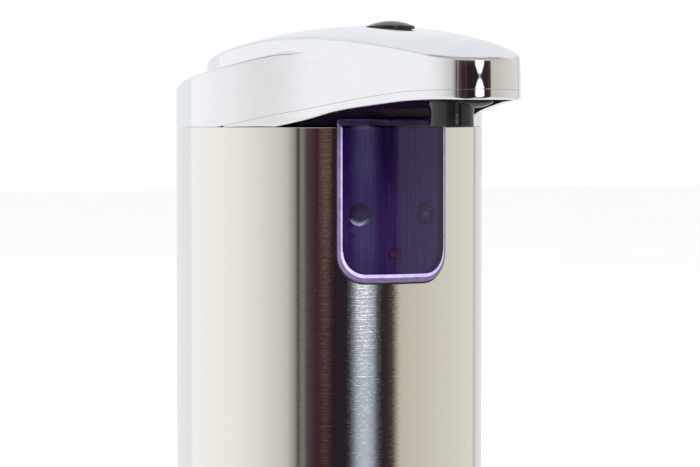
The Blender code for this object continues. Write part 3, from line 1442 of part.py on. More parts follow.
def make_base():
    """The twist-off base: a cup with an upstand and three bayonet lugs, its seal and its foot pad."""
    low = FOOT_PROUD
    recess = FOOT_THICKNESS + GAP
    upstand_top = BASE_HEIGHT + UPSTAND_RISE
    floor_top = low + BASE_FLOOR
    profile = [
        (UPSTAND_RADIUS, upstand_top),
        (UPSTAND_RADIUS, BASE_HEIGHT),
        (BODY_RADIUS, BASE_HEIGHT),
        (BODY_RADIUS, low + BASE_ROUNDING),
        (BODY_RADIUS - BASE_ROUNDING, low),
        (FOOT_RADIUS + GAP, low),
        (FOOT_RADIUS + GAP, recess),
        (0, recess),
    ]
    inner = [(0, floor_top), (UPSTAND_BORE, floor_top), (UPSTAND_BORE, upstand_top)]
    base = turned("base_cap", inner + profile)
    lug_low, lug_high = lug_levels()
    for i in range(LUG_COUNT):
        middle = LUG_START + 2 * pi * i / LUG_COUNT
        lug = arc_plate(
            f"lug_{i}",
            UPSTAND_RADIUS - UPSTAND_WALL / 2,
            UPSTAND_RADIUS + LUG_REACH,
            middle - LUG_HALF_ANGLE,
            middle + LUG_HALF_ANGLE,
            lug_low,
            lug_high,
        )
        join(base, lug)
    finish(base, BLACK_MATT)
    foot = [(0, FOOT_THICKNESS), (FOOT_RADIUS, FOOT_THICKNESS), (FOOT_RADIUS, 0), (0, 0)]
    finish(turned("foot_pad", foot), RUBBER)


def make_battery_plate():
    """The plate that closes the wells, with two strips that bridge the cells and a spring under each."""
    profile = [
        (0, PLATE_TOP), (UPSTAND_BORE - GAP, PLATE_TOP), (UPSTAND_BORE - GAP, PLATE_LOW), (0, PLATE_LOW),
    ]
    cover = turned("battery_plate", profile)
    low, high = PLATE_LOW - CUT_OVERRUN, PLATE_TOP + CUT_OVERRUN
    for i, at in enumerate(post_places()):
        cut(cover, cylinder(f"plate_hole_{i}", SCREW_RADIUS + GAP, low, high, at))
        screw(f"plate_screw_{i + 1}", at, PLATE_LOW - GAP, SHORT_SCREW_LENGTH + PLATE_THICKNESS, up=True)
    finish(cover, BLACK_MATT)
    places = cell_places()
    for i, (first, second) in enumerate(((places[0], places[3]), (places[1], places[2]))):
        strip(f"bridge_contact_{i + 1}", first, second, CONTACT_LOW)
    for i, at in enumerate(places):
        name = f"top_contact_{i + 1}"
        disc = cylinder(name, CONTACT_HALF_WIDTH, TOP_CONTACT_LOW, TOP_CONTACT_LOW + CONTACT_THICKNESS, at)
        finish(disc, CONTACT_METAL)
        make_cell(i, at)


def strip(name, first, second, low):
    """A flat contact strip with round ends, from one cell to another."""
    along = atan2(second[1] - first[1], second[0] - first[0])
    points = []
    for (x, y), start in ((first, along + pi / 2), (second, along - pi / 2)):
        for i in range(SMALL_SIDES // 2 + 1):
            turn = start + pi * i / (SMALL_SIDES // 2)
            points.append((x + CONTACT_HALF_WIDTH * cos(turn), y + CONTACT_HALF_WIDTH * sin(turn)))
    return finish(plate(name, points, low, low + CONTACT_THICKNESS), CONTACT_METAL)


def make_cell(index, at):
    """One AAA cell with its button tip, and the conical spring under it."""
    can_top = CELL_TOP - CELL_TIP_HEIGHT
    profile = [
        (0, CELL_TOP), (CELL_TIP_RADIUS, CELL_TOP), (CELL_TIP_RADIUS, can_top),
        (CELL_RADIUS, can_top), (CELL_RADIUS, CELL_LOW), (0, CELL_LOW),
    ]
    finish(turned(f"battery_{index + 1}", profile, (*at, 0), SMALL_SIDES), CELL_SLEEVE)
    low = SPRING_LOW + SPRING_WIRE_RADIUS
    climb = SPRING_HEIGHT - 2 * SPRING_WIRE_RADIUS
    count = round(SPRING_TURNS * SPRING_POINTS_PER_TURN)
    points = []
    for i in range(count + 1):
        share = i / count
        turn = 2 * pi * SPRING_TURNS * share
        radius = SPRING_FOOT_RADIUS + (SPRING_TIP_RADIUS - SPRING_FOOT_RADIUS) * share
        points.append((at[0] + radius * cos(turn), at[1] + radius * sin(turn), low + climb * share))
    finish(wire(f"battery_spring_{index + 1}", points, SPRING_WIRE_RADIUS, 1), CONTACT_METAL)


def bend(centre, first, second, radius, points):
    """Points on a quarter bend about a centre, from the first direction to the second."""
    middle, along, across = Vector(centre), Vector(first) * radius, Vector(second) * radius
    turns = [pi / 2 * i / points for i in range(points + 1)]
    return [middle + along * cos(turn) + across * sin(turn) for turn in turns]


def make_outlet_tube():
    """The tube from the pump's outlet, forward, up in front of the tank, and out along the spout."""
    outlet_z = PUMP_TOP - GEAR_POCKET_DEPTH / 2
    start = Vector((MESH_X, -PUMP_HALF_DEPTH - GAP, outlet_z))
    top = SEAM_HEIGHT + TUBE_HEIGHT
    end = Vector((0, -NOZZLE_DISTANCE + elbow_radius() + GAP, top))
    low_centre = (MESH_X, -TUBE_FRONT + TUBE_BEND, outlet_z + TUBE_BEND)
    high_centre = (MESH_X, -TUBE_FRONT - TUBE_BEND, top - TUBE_BEND)
    path = [start] + bend(low_centre, (0, 0, -1), (0, -1, 0), TUBE_BEND, TUBE_BEND_POINTS)
    path += bend(high_centre, (0, 1, 0), (0, 0, 1), TUBE_BEND, TUBE_BEND_POINTS)
    last = path[-1]
    for i in range(1, TUBE_STRAIGHT_POINTS + 1):
        share = i / TUBE_STRAIGHT_POINTS
        ease = share**2 * (3 - 2 * share)
        path.append(Vector((last.x + (end.x - last.x) * ease, last.y + (end.y - last.y) * share, top)))
    tube = meshed(wire("outlet_tube", path, TUBE_RADIUS, 2))
    before = start + (path[0] - path[1]).normalized() * CUT_OVERRUN
    beyond = end + (path[-1] - path[-2]).normalized() * CUT_OVERRUN
    cut(tube, meshed(wire("tube_bore", [before] + path + [beyond], TUBE_BORE, 1)))
    return finish(tube, SILICONE)


def elbow_radius():
    return STEM_RADIUS + GAP + ELBOW_WALL


def make_nozzle_elbow():
    """The elbow that turns the flow down into the nozzle's stem."""
    at = (0, -NOZZLE_DISTANCE)
    low = PANEL_TOP + GAP
    high = SEAM_HEIGHT + TUBE_HEIGHT + TUBE_RADIUS + ELBOW_ROOF
    elbow = cylinder("nozzle_elbow", elbow_radius(), low, high, at, SMALL_SIDES)
    stem_room = PANEL_TOP + STEM_RISE + GAP
    cut(elbow, cylinder("stem_room", STEM_RADIUS + GAP, low - CUT_OVERRUN, stem_room, at))
    turn_top = SEAM_HEIGHT + TUBE_HEIGHT + TUBE_BORE
    cut(elbow, cylinder("elbow_drop", TUBE_BORE, stem_room - CUT_OVERRUN, turn_top, at))
    inlet = level_bar(
        "elbow_inlet",
        TUBE_BORE,
        SEAM_HEIGHT + TUBE_HEIGHT,
        -NOZZLE_DISTANCE,
        -NOZZLE_DISTANCE + elbow_radius() + CUT_OVERRUN,
    )
    inlet.location.x = 0
    return finish(cut(elbow, inlet), WHITE_PLASTIC)


make_head_cover()
make_head_trim()
make_spout_panel()
make_nozzle()
make_spout_fixing()
make_collar_ring()
make_body_shell()
make_sensor_window()
make_sensor_group()
make_button_group()
make_refill_cap()
make_soap_tank()
make_board_bracket()
make_outlet_tube()
make_nozzle_elbow()
make_main_board()
make_pump()
make_motor()
make_chassis()
make_battery_plate()
make_base()
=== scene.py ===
"""Looks for the automatic soap dispenser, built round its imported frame.

Metres, +Z up. The spout points along -Y. In the head, a "distance" is measured forward from the body's axis
and a "height" upward from the seam, as in the part itself.
"""

from math import asin, atan, cos, dist, hypot, pi, radians, sin

import bmesh
import bpy
from mathutils import Matrix, Vector
from mathutils.bvhtree import BVHTree


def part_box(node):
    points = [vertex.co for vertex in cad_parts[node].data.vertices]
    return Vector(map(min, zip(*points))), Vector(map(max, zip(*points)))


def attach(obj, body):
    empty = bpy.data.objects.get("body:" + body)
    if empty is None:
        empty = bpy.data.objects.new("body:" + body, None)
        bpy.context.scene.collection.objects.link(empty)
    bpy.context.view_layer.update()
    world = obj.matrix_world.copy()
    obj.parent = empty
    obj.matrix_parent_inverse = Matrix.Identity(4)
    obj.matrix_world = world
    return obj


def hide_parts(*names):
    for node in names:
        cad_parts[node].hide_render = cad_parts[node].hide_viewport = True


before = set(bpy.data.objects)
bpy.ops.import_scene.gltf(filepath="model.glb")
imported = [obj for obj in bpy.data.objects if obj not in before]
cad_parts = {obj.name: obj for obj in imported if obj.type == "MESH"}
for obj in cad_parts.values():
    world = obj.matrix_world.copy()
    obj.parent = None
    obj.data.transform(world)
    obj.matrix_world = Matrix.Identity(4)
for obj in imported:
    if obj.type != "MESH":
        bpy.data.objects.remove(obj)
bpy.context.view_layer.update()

# Sizes shared with the part
BODY_RADIUS = 0.038
SEAM_HEIGHT = 0.162
GAP = 0.0003
SHELL_WALL = 0.0008
SHELL_LOW = 0.0123
HEAD_HEIGHT = 0.0245
HEAD_WALL = 0.0018
SPOUT_REACH = 0.0863
SPOUT_REAR_RADIUS = 0.0303
SPOUT_TIP_RADIUS = 0.0123
CREST_ROUNDING = 0.0012
RIM_ROUNDING = 0.0007
FOOT_RADIUS = 0.0008
PANEL_HEIGHT = 0.0061
PANEL_THICKNESS = 0.0015
PANEL_RECESS = 0.001
COVE_RADIUS = 0.005
NOZZLE_DISTANCE = 0.0668
PLUG_DISTANCE = 0.0789
PLUG_RADIUS = 0.0038
PLUG_HEIGHT = 0.0015
PLUG_EDGE = 0.0004
SCREW_HEAD_RADIUS = 0.0023
STEM_RADIUS = 0.0031
STEM_RISE = 0.0019
NOZZLE_BORE = 0.0017
NOZZLE_MOUTH_RADIUS = 0.003
NOZZLE_LIP = 0.0002
BUTTON_DISTANCE = 0.035
BUTTON_RADIUS = 0.0058
BUTTON_PROUD = 0.0013
BUTTON_FLANGE = 0.0009
BUTTON_FLANGE_HEIGHT = 0.0008
CAP_RADIUS = 0.0124
CAP_EDGE = 0.0009
CAP_SKIRT_RADIUS = 0.0097
CAP_SKIRT_WALL = 0.0013
CAP_SKIRT_SINK = 0.0004
NOTCH_RADIUS = 0.0045
NOTCH_DEPTH = 0.0012
NOTCH_INSET = 0.0015
NECK_OFFSET = -0.006
CUT_OVERRUN = 0.002
WINDOW_HALF_WIDTH = 0.0145
WINDOW_RISE = 0.0018
WINDOW_DROP = 0.037
WINDOW_CORNER = 0.0068
WINDOW_TOP_CORNER = 0.0008
WINDOW_PROUD = 0.001
WINDOW_THICKNESS = 0.0017
WINDOW_BEVEL = 0.0014
LOW_BEVEL_SHARE = 1.5
INNER_SLOPE = 0.90
BEVEL_MARGIN = 0.02
EYE_ANGLE = radians(13.3)
EYE_DROP = 0.0207
EYE_RADIUS = 0.0025
LEAST_STRIP = 0.0001

# Heights along the head, as (share of the spout's reach, share of the head's height)
CREST_SHARES = (
    (-0.35, 0.530), (-0.15, 0.660), (0.02, 0.746), (0.15, 0.825), (0.28, 0.868),
    (0.40, 0.873), (0.54, 0.845), (0.69, 0.792), (0.83, 0.722), (0.93, 0.668), (1.00, 0.648),
)
RIDGE_SHARES = (
    (0.0, 0.966), (0.12, 0.986), (0.23, 0.993), (0.40, 0.972), (0.57, 0.912), (0.75, 0.858), (0.87, 0.797),
)
LEDGE_SHARES = (
    (-0.44, 0.205), (-0.34, 0.248), (-0.19, 0.362), (-0.05, 0.458), (0.08, 0.532),
    (0.20, 0.613), (0.28, 0.679), (0.34, 0.712), (0.55, 0.700), (1.00, 0.500),
)
PARTING_SHARES = (
    (0.154, 0.000), (0.227, 0.045), (0.283, 0.090), (0.35, 0.139), (0.456, 0.189),
    (0.64, 0.268), (0.74, 0.302), (0.83, 0.326), (1.00, 0.342),
)
RIM_SHARES = (
    (0.316, 0.000), (0.36, 0.035), (0.455, 0.098), (0.51, 0.134), (0.58, 0.167),
    (0.725, 0.212), (0.81, 0.234), (0.92, 0.245), (1.00, 0.247),
)

# The nozzle's outline, as (share of the way down from the panel, radius)
NOZZLE_OUTLINE = (
    (0.0, 0.0055), (0.06, 0.00547), (0.14, 0.00535), (0.26, 0.0052), (0.38, 0.00512), (0.50, 0.0051),
    (0.62, 0.00511), (0.76, 0.00514), (0.88, 0.00518), (0.94, 0.0052), (0.98, 0.00514), (1.0, 0.005),
)

# The window's slope, as (share of the bevel's width, share of its rise)
WINDOW_SLOPE = ((0.10, 0.60), (0.20, 0.74), (0.40, 0.82), (0.62, 0.89), (0.82, 0.95), (1.0, 1.0), (1.04, 1.0))

# Finer steps than the part has
REAR_STATIONS = 44
SIDE_STATIONS = 56
NOSE_STATIONS = 28
CREST_STEPS = 7
RIM_STEPS = 6
DOME_RINGS = 30
TURNED_STEPS = 96
SHELL_STEPS = 240
WINDOW_STRIPS = 48
CORNER_POINTS = 16
COVE_STEPS = 12
PLUG_STEPS = 14
BUTTON_STEPS = 16
BREAK_STEPS = 3
WALL_STEPS = 10

# Eased edges, small margins and limits of the shading
SIDE_BLEND = 0.006
WALL_LEAN = 0.00016
LEAN_REACH = 0.001
FINE_GAP = 0.00002
EDGE_BREAK = 0.00015
PARTING_BREAK = 0.00006
EDGE_HOLD = 0.00005
MERGE_DISTANCE = 0.000002
SMOOTH_ANGLE = radians(32)
TOWARDS_CENTRE = 0.02

# Values for the materials
GRAIN_DEPTH = 0.0001
BRUSH_DEPTH = 0.00003
BRUSH_FADE = 0.035
DRAWN_DEPTH = 0.00004
HAZE_DEPTH = 0.0002
TRACK_DEPTH = 0.00005
BAND_LEVELS = (0.0495, 0.0498)
ACRYLIC_IOR = 1.49
LEAST_ROUGHNESS = 0.01

# Photograph's view
IMAGE_WIDTH = 700
IMAGE_HEIGHT = 467
FOCAL_PIXELS = 2808
CAMERA_AZIMUTH = radians(-24.6)
CAMERA_DISTANCE = 0.700
AXIS_PIXEL = 329.2
HORIZON_PIXEL = 127.0
SENSOR_WIDTH = 36.0
CAMERA_CLIP = (0.01, 50)

SPOUT_TIP_CENTRE = SPOUT_REACH - SPOUT_TIP_RADIUS
PANEL_LOW = SEAM_HEIGHT + PANEL_HEIGHT
PANEL_TOP = PANEL_LOW + PANEL_THICKNESS
WINDOW_RADIUS = BODY_RADIUS + WINDOW_PROUD
LEAN = asin((SPOUT_REAR_RADIUS - SPOUT_TIP_RADIUS) / SPOUT_TIP_CENTRE)
HOLE_TOP = SEAM_HEIGHT + HEAD_HEIGHT * 1.2
BUTTON_HOLE_LOW = SEAM_HEIGHT + HEAD_HEIGHT * 0.2
REFILL_HOLE_LOW = SEAM_HEIGHT + HEAD_HEIGHT * 0.5
UPWARD = (0, 0, 1)


# Shapes

def smooth_height(shares, distance):
    """A height read from a table of shares by a curve without bumps between its points."""
    xs = [share * SPOUT_REACH for share, _ in shares]
    ys = [share * HEAD_HEIGHT for _, share in shares]
    if distance <= xs[0]:
        return ys[0]
    if distance >= xs[-1]:
        return ys[-1]
    slopes = [(ys[i + 1] - ys[i]) / (xs[i + 1] - xs[i]) for i in range(len(xs) - 1)]
    tangents = [slopes[0]]
    for before, after in zip(slopes, slopes[1:]):
        tangents.append(2 * before * after / (before + after) if before * after > 0 else 0.0)
    tangents.append(slopes[-1])
    i = max(k for k in range(len(xs) - 1) if xs[k] <= distance)
    span = xs[i + 1] - xs[i]
    t = (distance - xs[i]) / span
    return (
        (2 * t**3 - 3 * t**2 + 1) * ys[i]
        + (t**3 - 2 * t**2 + t) * span * tangents[i]
        + (3 * t**2 - 2 * t**3) * ys[i + 1]
        + (t**3 - t**2) * span * tangents[i + 1]
    )


def spout_stations():
    """Places round the raised spout, as (centre distance, radius, normal), from the rear round and back."""
    half = []
    for i in range(REAR_STATIONS):
        half.append((0.0, SPOUT_REAR_RADIUS, -pi / 2 + (LEAN + pi / 2) * i / REAR_STATIONS))
    for i in range(SIDE_STATIONS):
        share = i / SIDE_STATIONS
        radius = SPOUT_REAR_RADIUS + (SPOUT_TIP_RADIUS - SPOUT_REAR_RADIUS) * share
        half.append((SPOUT_TIP_CENTRE * share, radius, LEAN))
    for i in range(NOSE_STATIONS + 1):
        half.append((SPOUT_TIP_CENTRE, SPOUT_TIP_RADIUS, LEAN + (pi / 2 - LEAN) * i / NOSE_STATIONS))
    stations = [(centre, radius, (cos(turn), sin(turn))) for centre, radius, turn in half]
    other = [(centre, radius, (-side, ahead)) for centre, radius, (side, ahead) in stations[-2:0:-1]]
    return stations + other


def spout_point(station, inset=0.0):
    centre, radius, (side, ahead) = station
    return (side * (radius - inset), centre + ahead * (radius - inset))


def band_point(station, inset=0.0):
    """The head's lower outline: the body's circle, run softly into the spout's side."""
    side, distance = spout_point(station, inset)
    reach = hypot(side, distance)
    round_reach = BODY_RADIUS - inset
    apart = abs(round_reach - reach)
    wanted = max(reach, round_reach)
    if apart < SIDE_BLEND:
        wanted += (SIDE_BLEND - apart) ** 2 / (4 * SIDE_BLEND)
    return (side * wanted / reach, distance * wanted / reach)


def placed(point, height):
    side, distance = point
    return (side, -distance, SEAM_HEIGHT + height)


def crest_height(station):
    return smooth_height(CREST_SHARES, spout_point(station)[1])


def ledge_height(station):
    ledge = smooth_height(LEDGE_SHARES, band_point(station)[1])
    return min(ledge, crest_height(station) - CREST_ROUNDING * 2)


def lower_height(station):
    return max(FINE_GAP, smooth_height(PARTING_SHARES, band_point(station)[1]) + FINE_GAP)


def between(first, second, share):
    return tuple(a + (b - a) * share for a, b in zip(first, second))


def dome_ring(stations, share, rounding, wall):
    points = []
    for station in stations:
        centre, radius, _ = station
        inset = rounding + (radius - rounding) * (1 - share)
        crest = crest_height(station)
        ridge = smooth_height(RIDGE_SHARES, centre)
        points.append(placed(spout_point(station, inset), crest + (ridge - crest) * (1 - share**2) - wall))
    return points


def ledge_width(station):
    return dist(band_point(station), spout_point(station))


def lean(station, height):
    """How far the wall leans in at a height, where no ledge parts it."""
    low, crest = lower_height(station), crest_height(station) - CREST_ROUNDING
    share = min(1.0, max(0.0, (height - low) / (crest - low)))
    return WALL_LEAN * max(0.0, 1 - ledge_width(station) / LEAN_REACH) * share**2


def wall_heights(low, high):
    """Even heights up a wall, with one close to either end, which keeps its edges' shading off its face."""
    hold = min(EDGE_HOLD, (high - low) / 4)
    inner = high - low - 2 * hold
    return [low] + [low + hold + inner * step / WALL_STEPS for step in range(WALL_STEPS + 1)]


def band_rings(stations):
    """Rings from the lower edge, over the rounded rim of the ledge, and up the spout's side to its crest."""
    columns = []
    for station in stations:
        outer, inner = band_point(station), spout_point(station)
        width = ledge_width(station)
        rounding = min(RIM_ROUNDING, width / 2)
        ledge = ledge_height(station)
        low = lower_height(station)
        crest = crest_height(station) - CREST_ROUNDING
        broken = between(outer, band_point(station, HEAD_WALL), PARTING_BREAK / HEAD_WALL)
        column = [(broken, low)]
        column += [(outer, height) for height in wall_heights(low + PARTING_BREAK, ledge - rounding)]
        for step in range(RIM_STEPS + 1):
            turn = pi / 2 * step / RIM_STEPS
            share = rounding * (1 - cos(turn)) / width if width > MERGE_DISTANCE else 0.0
            column.append((between(outer, inner, share), ledge - rounding * (1 - sin(turn))))
        foot = min(FOOT_RADIUS, width / 3, (crest - ledge) / 3)
        for step in range(RIM_STEPS):
            turn = pi / 2 * step / RIM_STEPS
            share = 1 - foot * (1 - sin(turn)) / width if width > MERGE_DISTANCE else 1.0
            column.append((between(outer, inner, share), ledge + foot * (1 - cos(turn))))
        column += [(inner, height) for height in wall_heights(ledge + foot, crest)]
        side, ahead = station[2]
        leaning = []
        for point, height in column:
            inward = lean(station, height)
            leaning.append(placed((point[0] - side * inward, point[1] - ahead * inward), height))
        columns.append(leaning)
    return [list(ring) for ring in zip(*columns)]


def crest_rings(stations):
    rings = []
    for step in range(CREST_STEPS):
        turn = pi / 2 * step / CREST_STEPS
        drop = CREST_ROUNDING * (1 - sin(turn))
        ring = []
        for station in stations:
            start = lean(station, crest_height(station))
            inset = start + (CREST_ROUNDING - start) * (1 - cos(turn))
            ring.append(placed(spout_point(station, inset), crest_height(station) - drop))
        rings.append(ring)
    return rings


def dome_rings(stations, rounding, wall, count):
    return [dome_ring(stations, 1 - step / count, rounding, wall) for step in range(count + 1)]


def inner_rings(stations):
    lower, ceiling, foot = [], [], []
    for station in stations:
        band = band_point(station, HEAD_WALL)
        ledge = max(ledge_height(station) - HEAD_WALL, lower_height(station) + HEAD_WALL)
        lower.append(placed(band, lower_height(station)))
        ceiling.append(placed(band, ledge))
        foot.append(placed(spout_point(station, HEAD_WALL), ledge))
    return [lower, ceiling, foot] + dome_rings(stations, HEAD_WALL, HEAD_WALL, DOME_RINGS // 5)


def object_from(name, shape):
    mesh = bpy.data.meshes.new(name)
    shape.to_mesh(mesh)
    shape.free()
    obj = bpy.data.objects.new(name, mesh)
    bpy.context.scene.collection.objects.link(obj)
    return obj


def skin(name, rows, closed=False):
    """Faces between rows of points. With closed, the last row also meets the first."""
    shape = bmesh.new()
    grid = [[shape.verts.new(point) for point in row] for row in rows]
    pairs = list(zip(grid, grid[1:]))
    if closed:
        pairs.append((grid[-1], grid[0]))
    for lower, upper in pairs:
        for j in range(len(lower)):
            k = (j + 1) % len(lower)
            shape.faces.new((lower[j], lower[k], upper[k], upper[j]))
    bmesh.ops.remove_doubles(shape, verts=shape.verts, dist=MERGE_DISTANCE)
    bmesh.ops.dissolve_degenerate(shape, edges=shape.edges, dist=MERGE_DISTANCE)
    bmesh.ops.holes_fill(shape, edges=[edge for edge in shape.edges if edge.is_boundary])
    bmesh.ops.recalc_face_normals(shape, faces=shape.faces)
    return object_from(name, shape)


def turned(name, profile, at=(0, 0), steps=TURNED_STEPS):
    """A turned shape from (radius, height) points. A profile off the axis is closed on itself."""
    rows = [
        [(at[0] + r * cos(2 * pi * i / steps), at[1] + r * sin(2 * pi * i / steps), z) for i in range(steps)]
        for r, z in profile
    ]
    return skin(name, rows, closed=profile[0][0] > 0)


def broken_profile(profile):
    """Rounds the corners of a closed (radius, height) profile."""
    points = []
    count = len(profile)
    for i, corner in enumerate(profile):
        corner = Vector(corner)
        before = Vector(profile[i - 1]) - corner
        after = Vector(profile[(i + 1) % count]) - corner
        short = min(before.length, after.length) < MERGE_DISTANCE
        if corner.x == 0 or short or before.angle(after) > pi - SMOOTH_ANGLE:
            points.append(tuple(corner))
            continue
        reach = min(EDGE_BREAK, before.length / 2, after.length / 2)
        start = corner + before.normalized() * reach
        end = corner + after.normalized() * reach
        for step in range(BREAK_STEPS + 1):
            t = step / BREAK_STEPS
            points.append(tuple(start * (1 - t) ** 2 + corner * 2 * t * (1 - t) + end * t**2))
        if after.length > EDGE_BREAK * 6:
            hold = after.normalized() * EDGE_BREAK * 2
            points.append(tuple(corner + hold))
            points.append(tuple(corner + after - hold))
    return points


def shade(obj):
    obj.data.shade_smooth()
    obj.data.set_sharp_from_angle(angle=SMOOTH_ANGLE)


def apply_modifiers(obj):
    graph = bpy.context.evaluated_depsgraph_get()
    graph.update()
    mesh = bpy.data.meshes.new_from_object(obj.evaluated_get(graph))
    obj.modifiers.clear()
    obj.data = mesh


def combined(target, *changes):
    """Cuts, keeps or joins other shapes, given as (operation, shape), which are then removed."""
    for operation, other in changes:
        change = target.modifiers.new("change", "BOOLEAN")
        change.operation = operation
        change.solver = "EXACT"
        change.object = other
    apply_modifiers(target)
    for _, other in changes:
        bpy.data.objects.remove(other, do_unlink=True)


def cut(target, *cutters):
    """Cuts shapes out of the target, and gives its old faces the smooth normals of the uncut surface."""
    whole = target.data.copy()
    combined(target, *[("DIFFERENCE", cutter) for cutter in cutters])
    shade(target)
    keep_normals(target.data, whole)


def keep_normals(mesh, whole):
    """Copies smooth normals from a whole surface onto the faces of a cut one that still lie on it."""
    corners = [tuple(v.co) for v in whole.vertices]
    smooth = [v.normal.copy() for v in whole.vertices]
    whole.calc_loop_triangles()
    triangles = [tuple(t.vertices) for t in whole.loop_triangles]
    tree = BVHTree.FromPolygons(corners, triangles)
    limit = cos(SMOOTH_ANGLE)
    normals = [Vector(corner.vector) for corner in mesh.corner_normals]
    for face in mesh.polygons:
        for loop in face.loop_indices:
            place = mesh.vertices[mesh.loops[loop].vertex_index].co.lerp(face.center, TOWARDS_CENTRE)
            spot, face_normal, index, gap = tree.find_nearest(place)
            if gap > MERGE_DISTANCE * 5 or face_normal.dot(face.normal) < limit:
                continue
            a, b, c = (Vector(corners[i]) for i in triangles[index])
            weights = barycentric(spot, a, b, c)
            normal = sum((smooth[i] * w for i, w in zip(triangles[index], weights)), Vector((0, 0, 0)))
            if normal.length > 0 and normal.normalized().dot(face.normal) > limit:
                normals[loop] = normal.normalized()
    mesh.normals_split_custom_set(normals)
    bpy.data.meshes.remove(whole)


def barycentric(spot, a, b, c):
    whole = (b - a).cross(c - a)
    area = whole.length_squared
    if area == 0:
        return (1.0, 0.0, 0.0)
    first = (b - spot).cross(c - spot).dot(whole) / area
    second = (c - spot).cross(a - spot).dot(whole) / area
    return (first, second, 1 - first - second)


def post(name, radius, low, high, at):
    """A plain round cutter."""
    return turned(name, [(0, high), (radius, high), (radius, low), (0, low)], at)


def window_outline(grow, top, inset=0.0):
    """The window's outline as (side, height above the seam) points, moved in by inset."""
    half = WINDOW_HALF_WIDTH + grow - inset
    low = -WINDOW_DROP - grow + inset * LOW_BEVEL_SHARE
    high = top - inset
    corner = max(WINDOW_CORNER + grow - inset, GAP)
    small = max(WINDOW_TOP_CORNER, inset / 2)
    points = []
    for side, height, radius, start in (
        (half - small, high - small, small, 0),
        (small - half, high - small, small, pi / 2),
        (corner - half, low + corner, corner, pi),
        (half - corner, low + corner, corner, pi * 3 / 2),
    ):
        for i in range(CORNER_POINTS + 1):
            turn = start + pi / 2 * i / CORNER_POINTS
            points.append((side + radius * cos(turn), height + radius * sin(turn)))
    return points


def curved_plate(name, rows):
    """Outlines at distances from the axis, skinned, sliced upright and bent round the body."""
    flat = skin(name, [[(side, height, out) for side, height in outline] for outline, out in rows])
    shape = bmesh.new()
    shape.from_mesh(flat.data)
    reach = max(abs(vert.co.x) for vert in shape.verts)
    for i in range(1, WINDOW_STRIPS):
        everything = list(shape.verts) + list(shape.edges) + list(shape.faces)
        side = reach * (2 * i / WINDOW_STRIPS - 1)
        bmesh.ops.bisect_plane(shape, geom=everything, plane_co=(side, 0, 0), plane_no=(1, 0, 0))
    for vert in shape.verts:
        turn = vert.co.x / BODY_RADIUS
        out = vert.co.z
        vert.co = (out * sin(turn), -out * cos(turn), SEAM_HEIGHT + vert.co.y)
    bmesh.ops.recalc_face_normals(shape, faces=shape.faces)
    shape.to_mesh(flat.data)
    shape.free()
    return flat


# Materials

def node(tree, kind, **values):
    made = tree.nodes.new(kind)
    for name, value in values.items():
        setattr(made, name, value)
    return made


def wire(tree, target, **values):
    """Sets a node's sockets, or links them. An underscore in a name stands for a space."""
    for name, value in values.items():
        socket = target.inputs[name.replace("_", " ")]
        if isinstance(value, bpy.types.NodeSocket):
            tree.links.new(value, socket)
        elif socket.type == "RGBA":
            socket.default_value = (*value, 1)
        else:
            socket.default_value = value
    return target


def new_material(name):
    material = bpy.data.materials.new(name)
    material.use_nodes = True
    return material, material.node_tree, material.node_tree.nodes["Principled BSDF"]


def along(tree, coordinates, axis):
    """How far an object's point ("Object") or a world's direction ("Generated") lies along an axis."""
    dot = node(tree, "ShaderNodeVectorMath", operation="DOT_PRODUCT")
    dot.inputs[1].default_value = axis
    tree.links.new(node(tree, "ShaderNodeTexCoord").outputs[coordinates], dot.inputs[0])
    return dot.outputs["Value"]


def object_place(tree, **values):
    """A point in the object's own coordinates, scaled or turned."""
    place = node(tree, "ShaderNodeTexCoord").outputs["Object"]
    return wire(tree, node(tree, "ShaderNodeMapping"), Vector=place, **values).outputs["Vector"]


def grain(tree, scale, detail, stretch=(1, 1, 1), roughness=0.5):
    """A noise value over the object's own coordinates, its features 1/scale metres across."""
    place = object_place(tree, Scale=[scale * s for s in stretch])
    noise = node(tree, "ShaderNodeTexNoise")
    wire(tree, noise, Vector=place, Scale=1.0, Detail=detail, Roughness=roughness)
    return noise.outputs["Fac"]


def cells(tree, scale, place):
    """The distance to the nearest of many scattered points."""
    spots = node(tree, "ShaderNodeTexVoronoi", feature="F1")
    return wire(tree, spots, Scale=scale, Vector=place).outputs["Distance"]


def ranged(tree, value, low, high, start=0.3, end=0.7):
    """A value spread to between low and high."""
    change = node(tree, "ShaderNodeMapRange")
    wire(tree, change, Value=value, From_Min=start, From_Max=end, To_Min=low, To_Max=high)
    return change.outputs["Result"]


def maths(tree, operation, *values):
    made = node(tree, "ShaderNodeMath", operation=operation)
    for socket, value in zip(made.inputs, values):
        if isinstance(value, float):
            socket.default_value = value
        else:
            tree.links.new(value, socket)
    return made.outputs[0]


def mixed(tree, factor, first, second):
    change = node(tree, "ShaderNodeMix", data_type="RGBA")
    tree.links.new(factor, change.inputs[0])
    for socket, colour in ((change.inputs[6], first), (change.inputs[7], second)):
        if isinstance(colour, tuple):
            socket.default_value = (*colour, 1.0)
        else:
            tree.links.new(colour, socket)
    return change.outputs[2]


def bumped(tree, height, strength, depth):
    bump = node(tree, "ShaderNodeBump")
    return wire(tree, bump, Height=height, Strength=strength, Distance=depth).outputs["Normal"]


def toned(tree, noise, first, second):
    """Two colours, mixed by a noise value."""
    return mixed(tree, ranged(tree, noise, 0.0, 1.0), first, second)


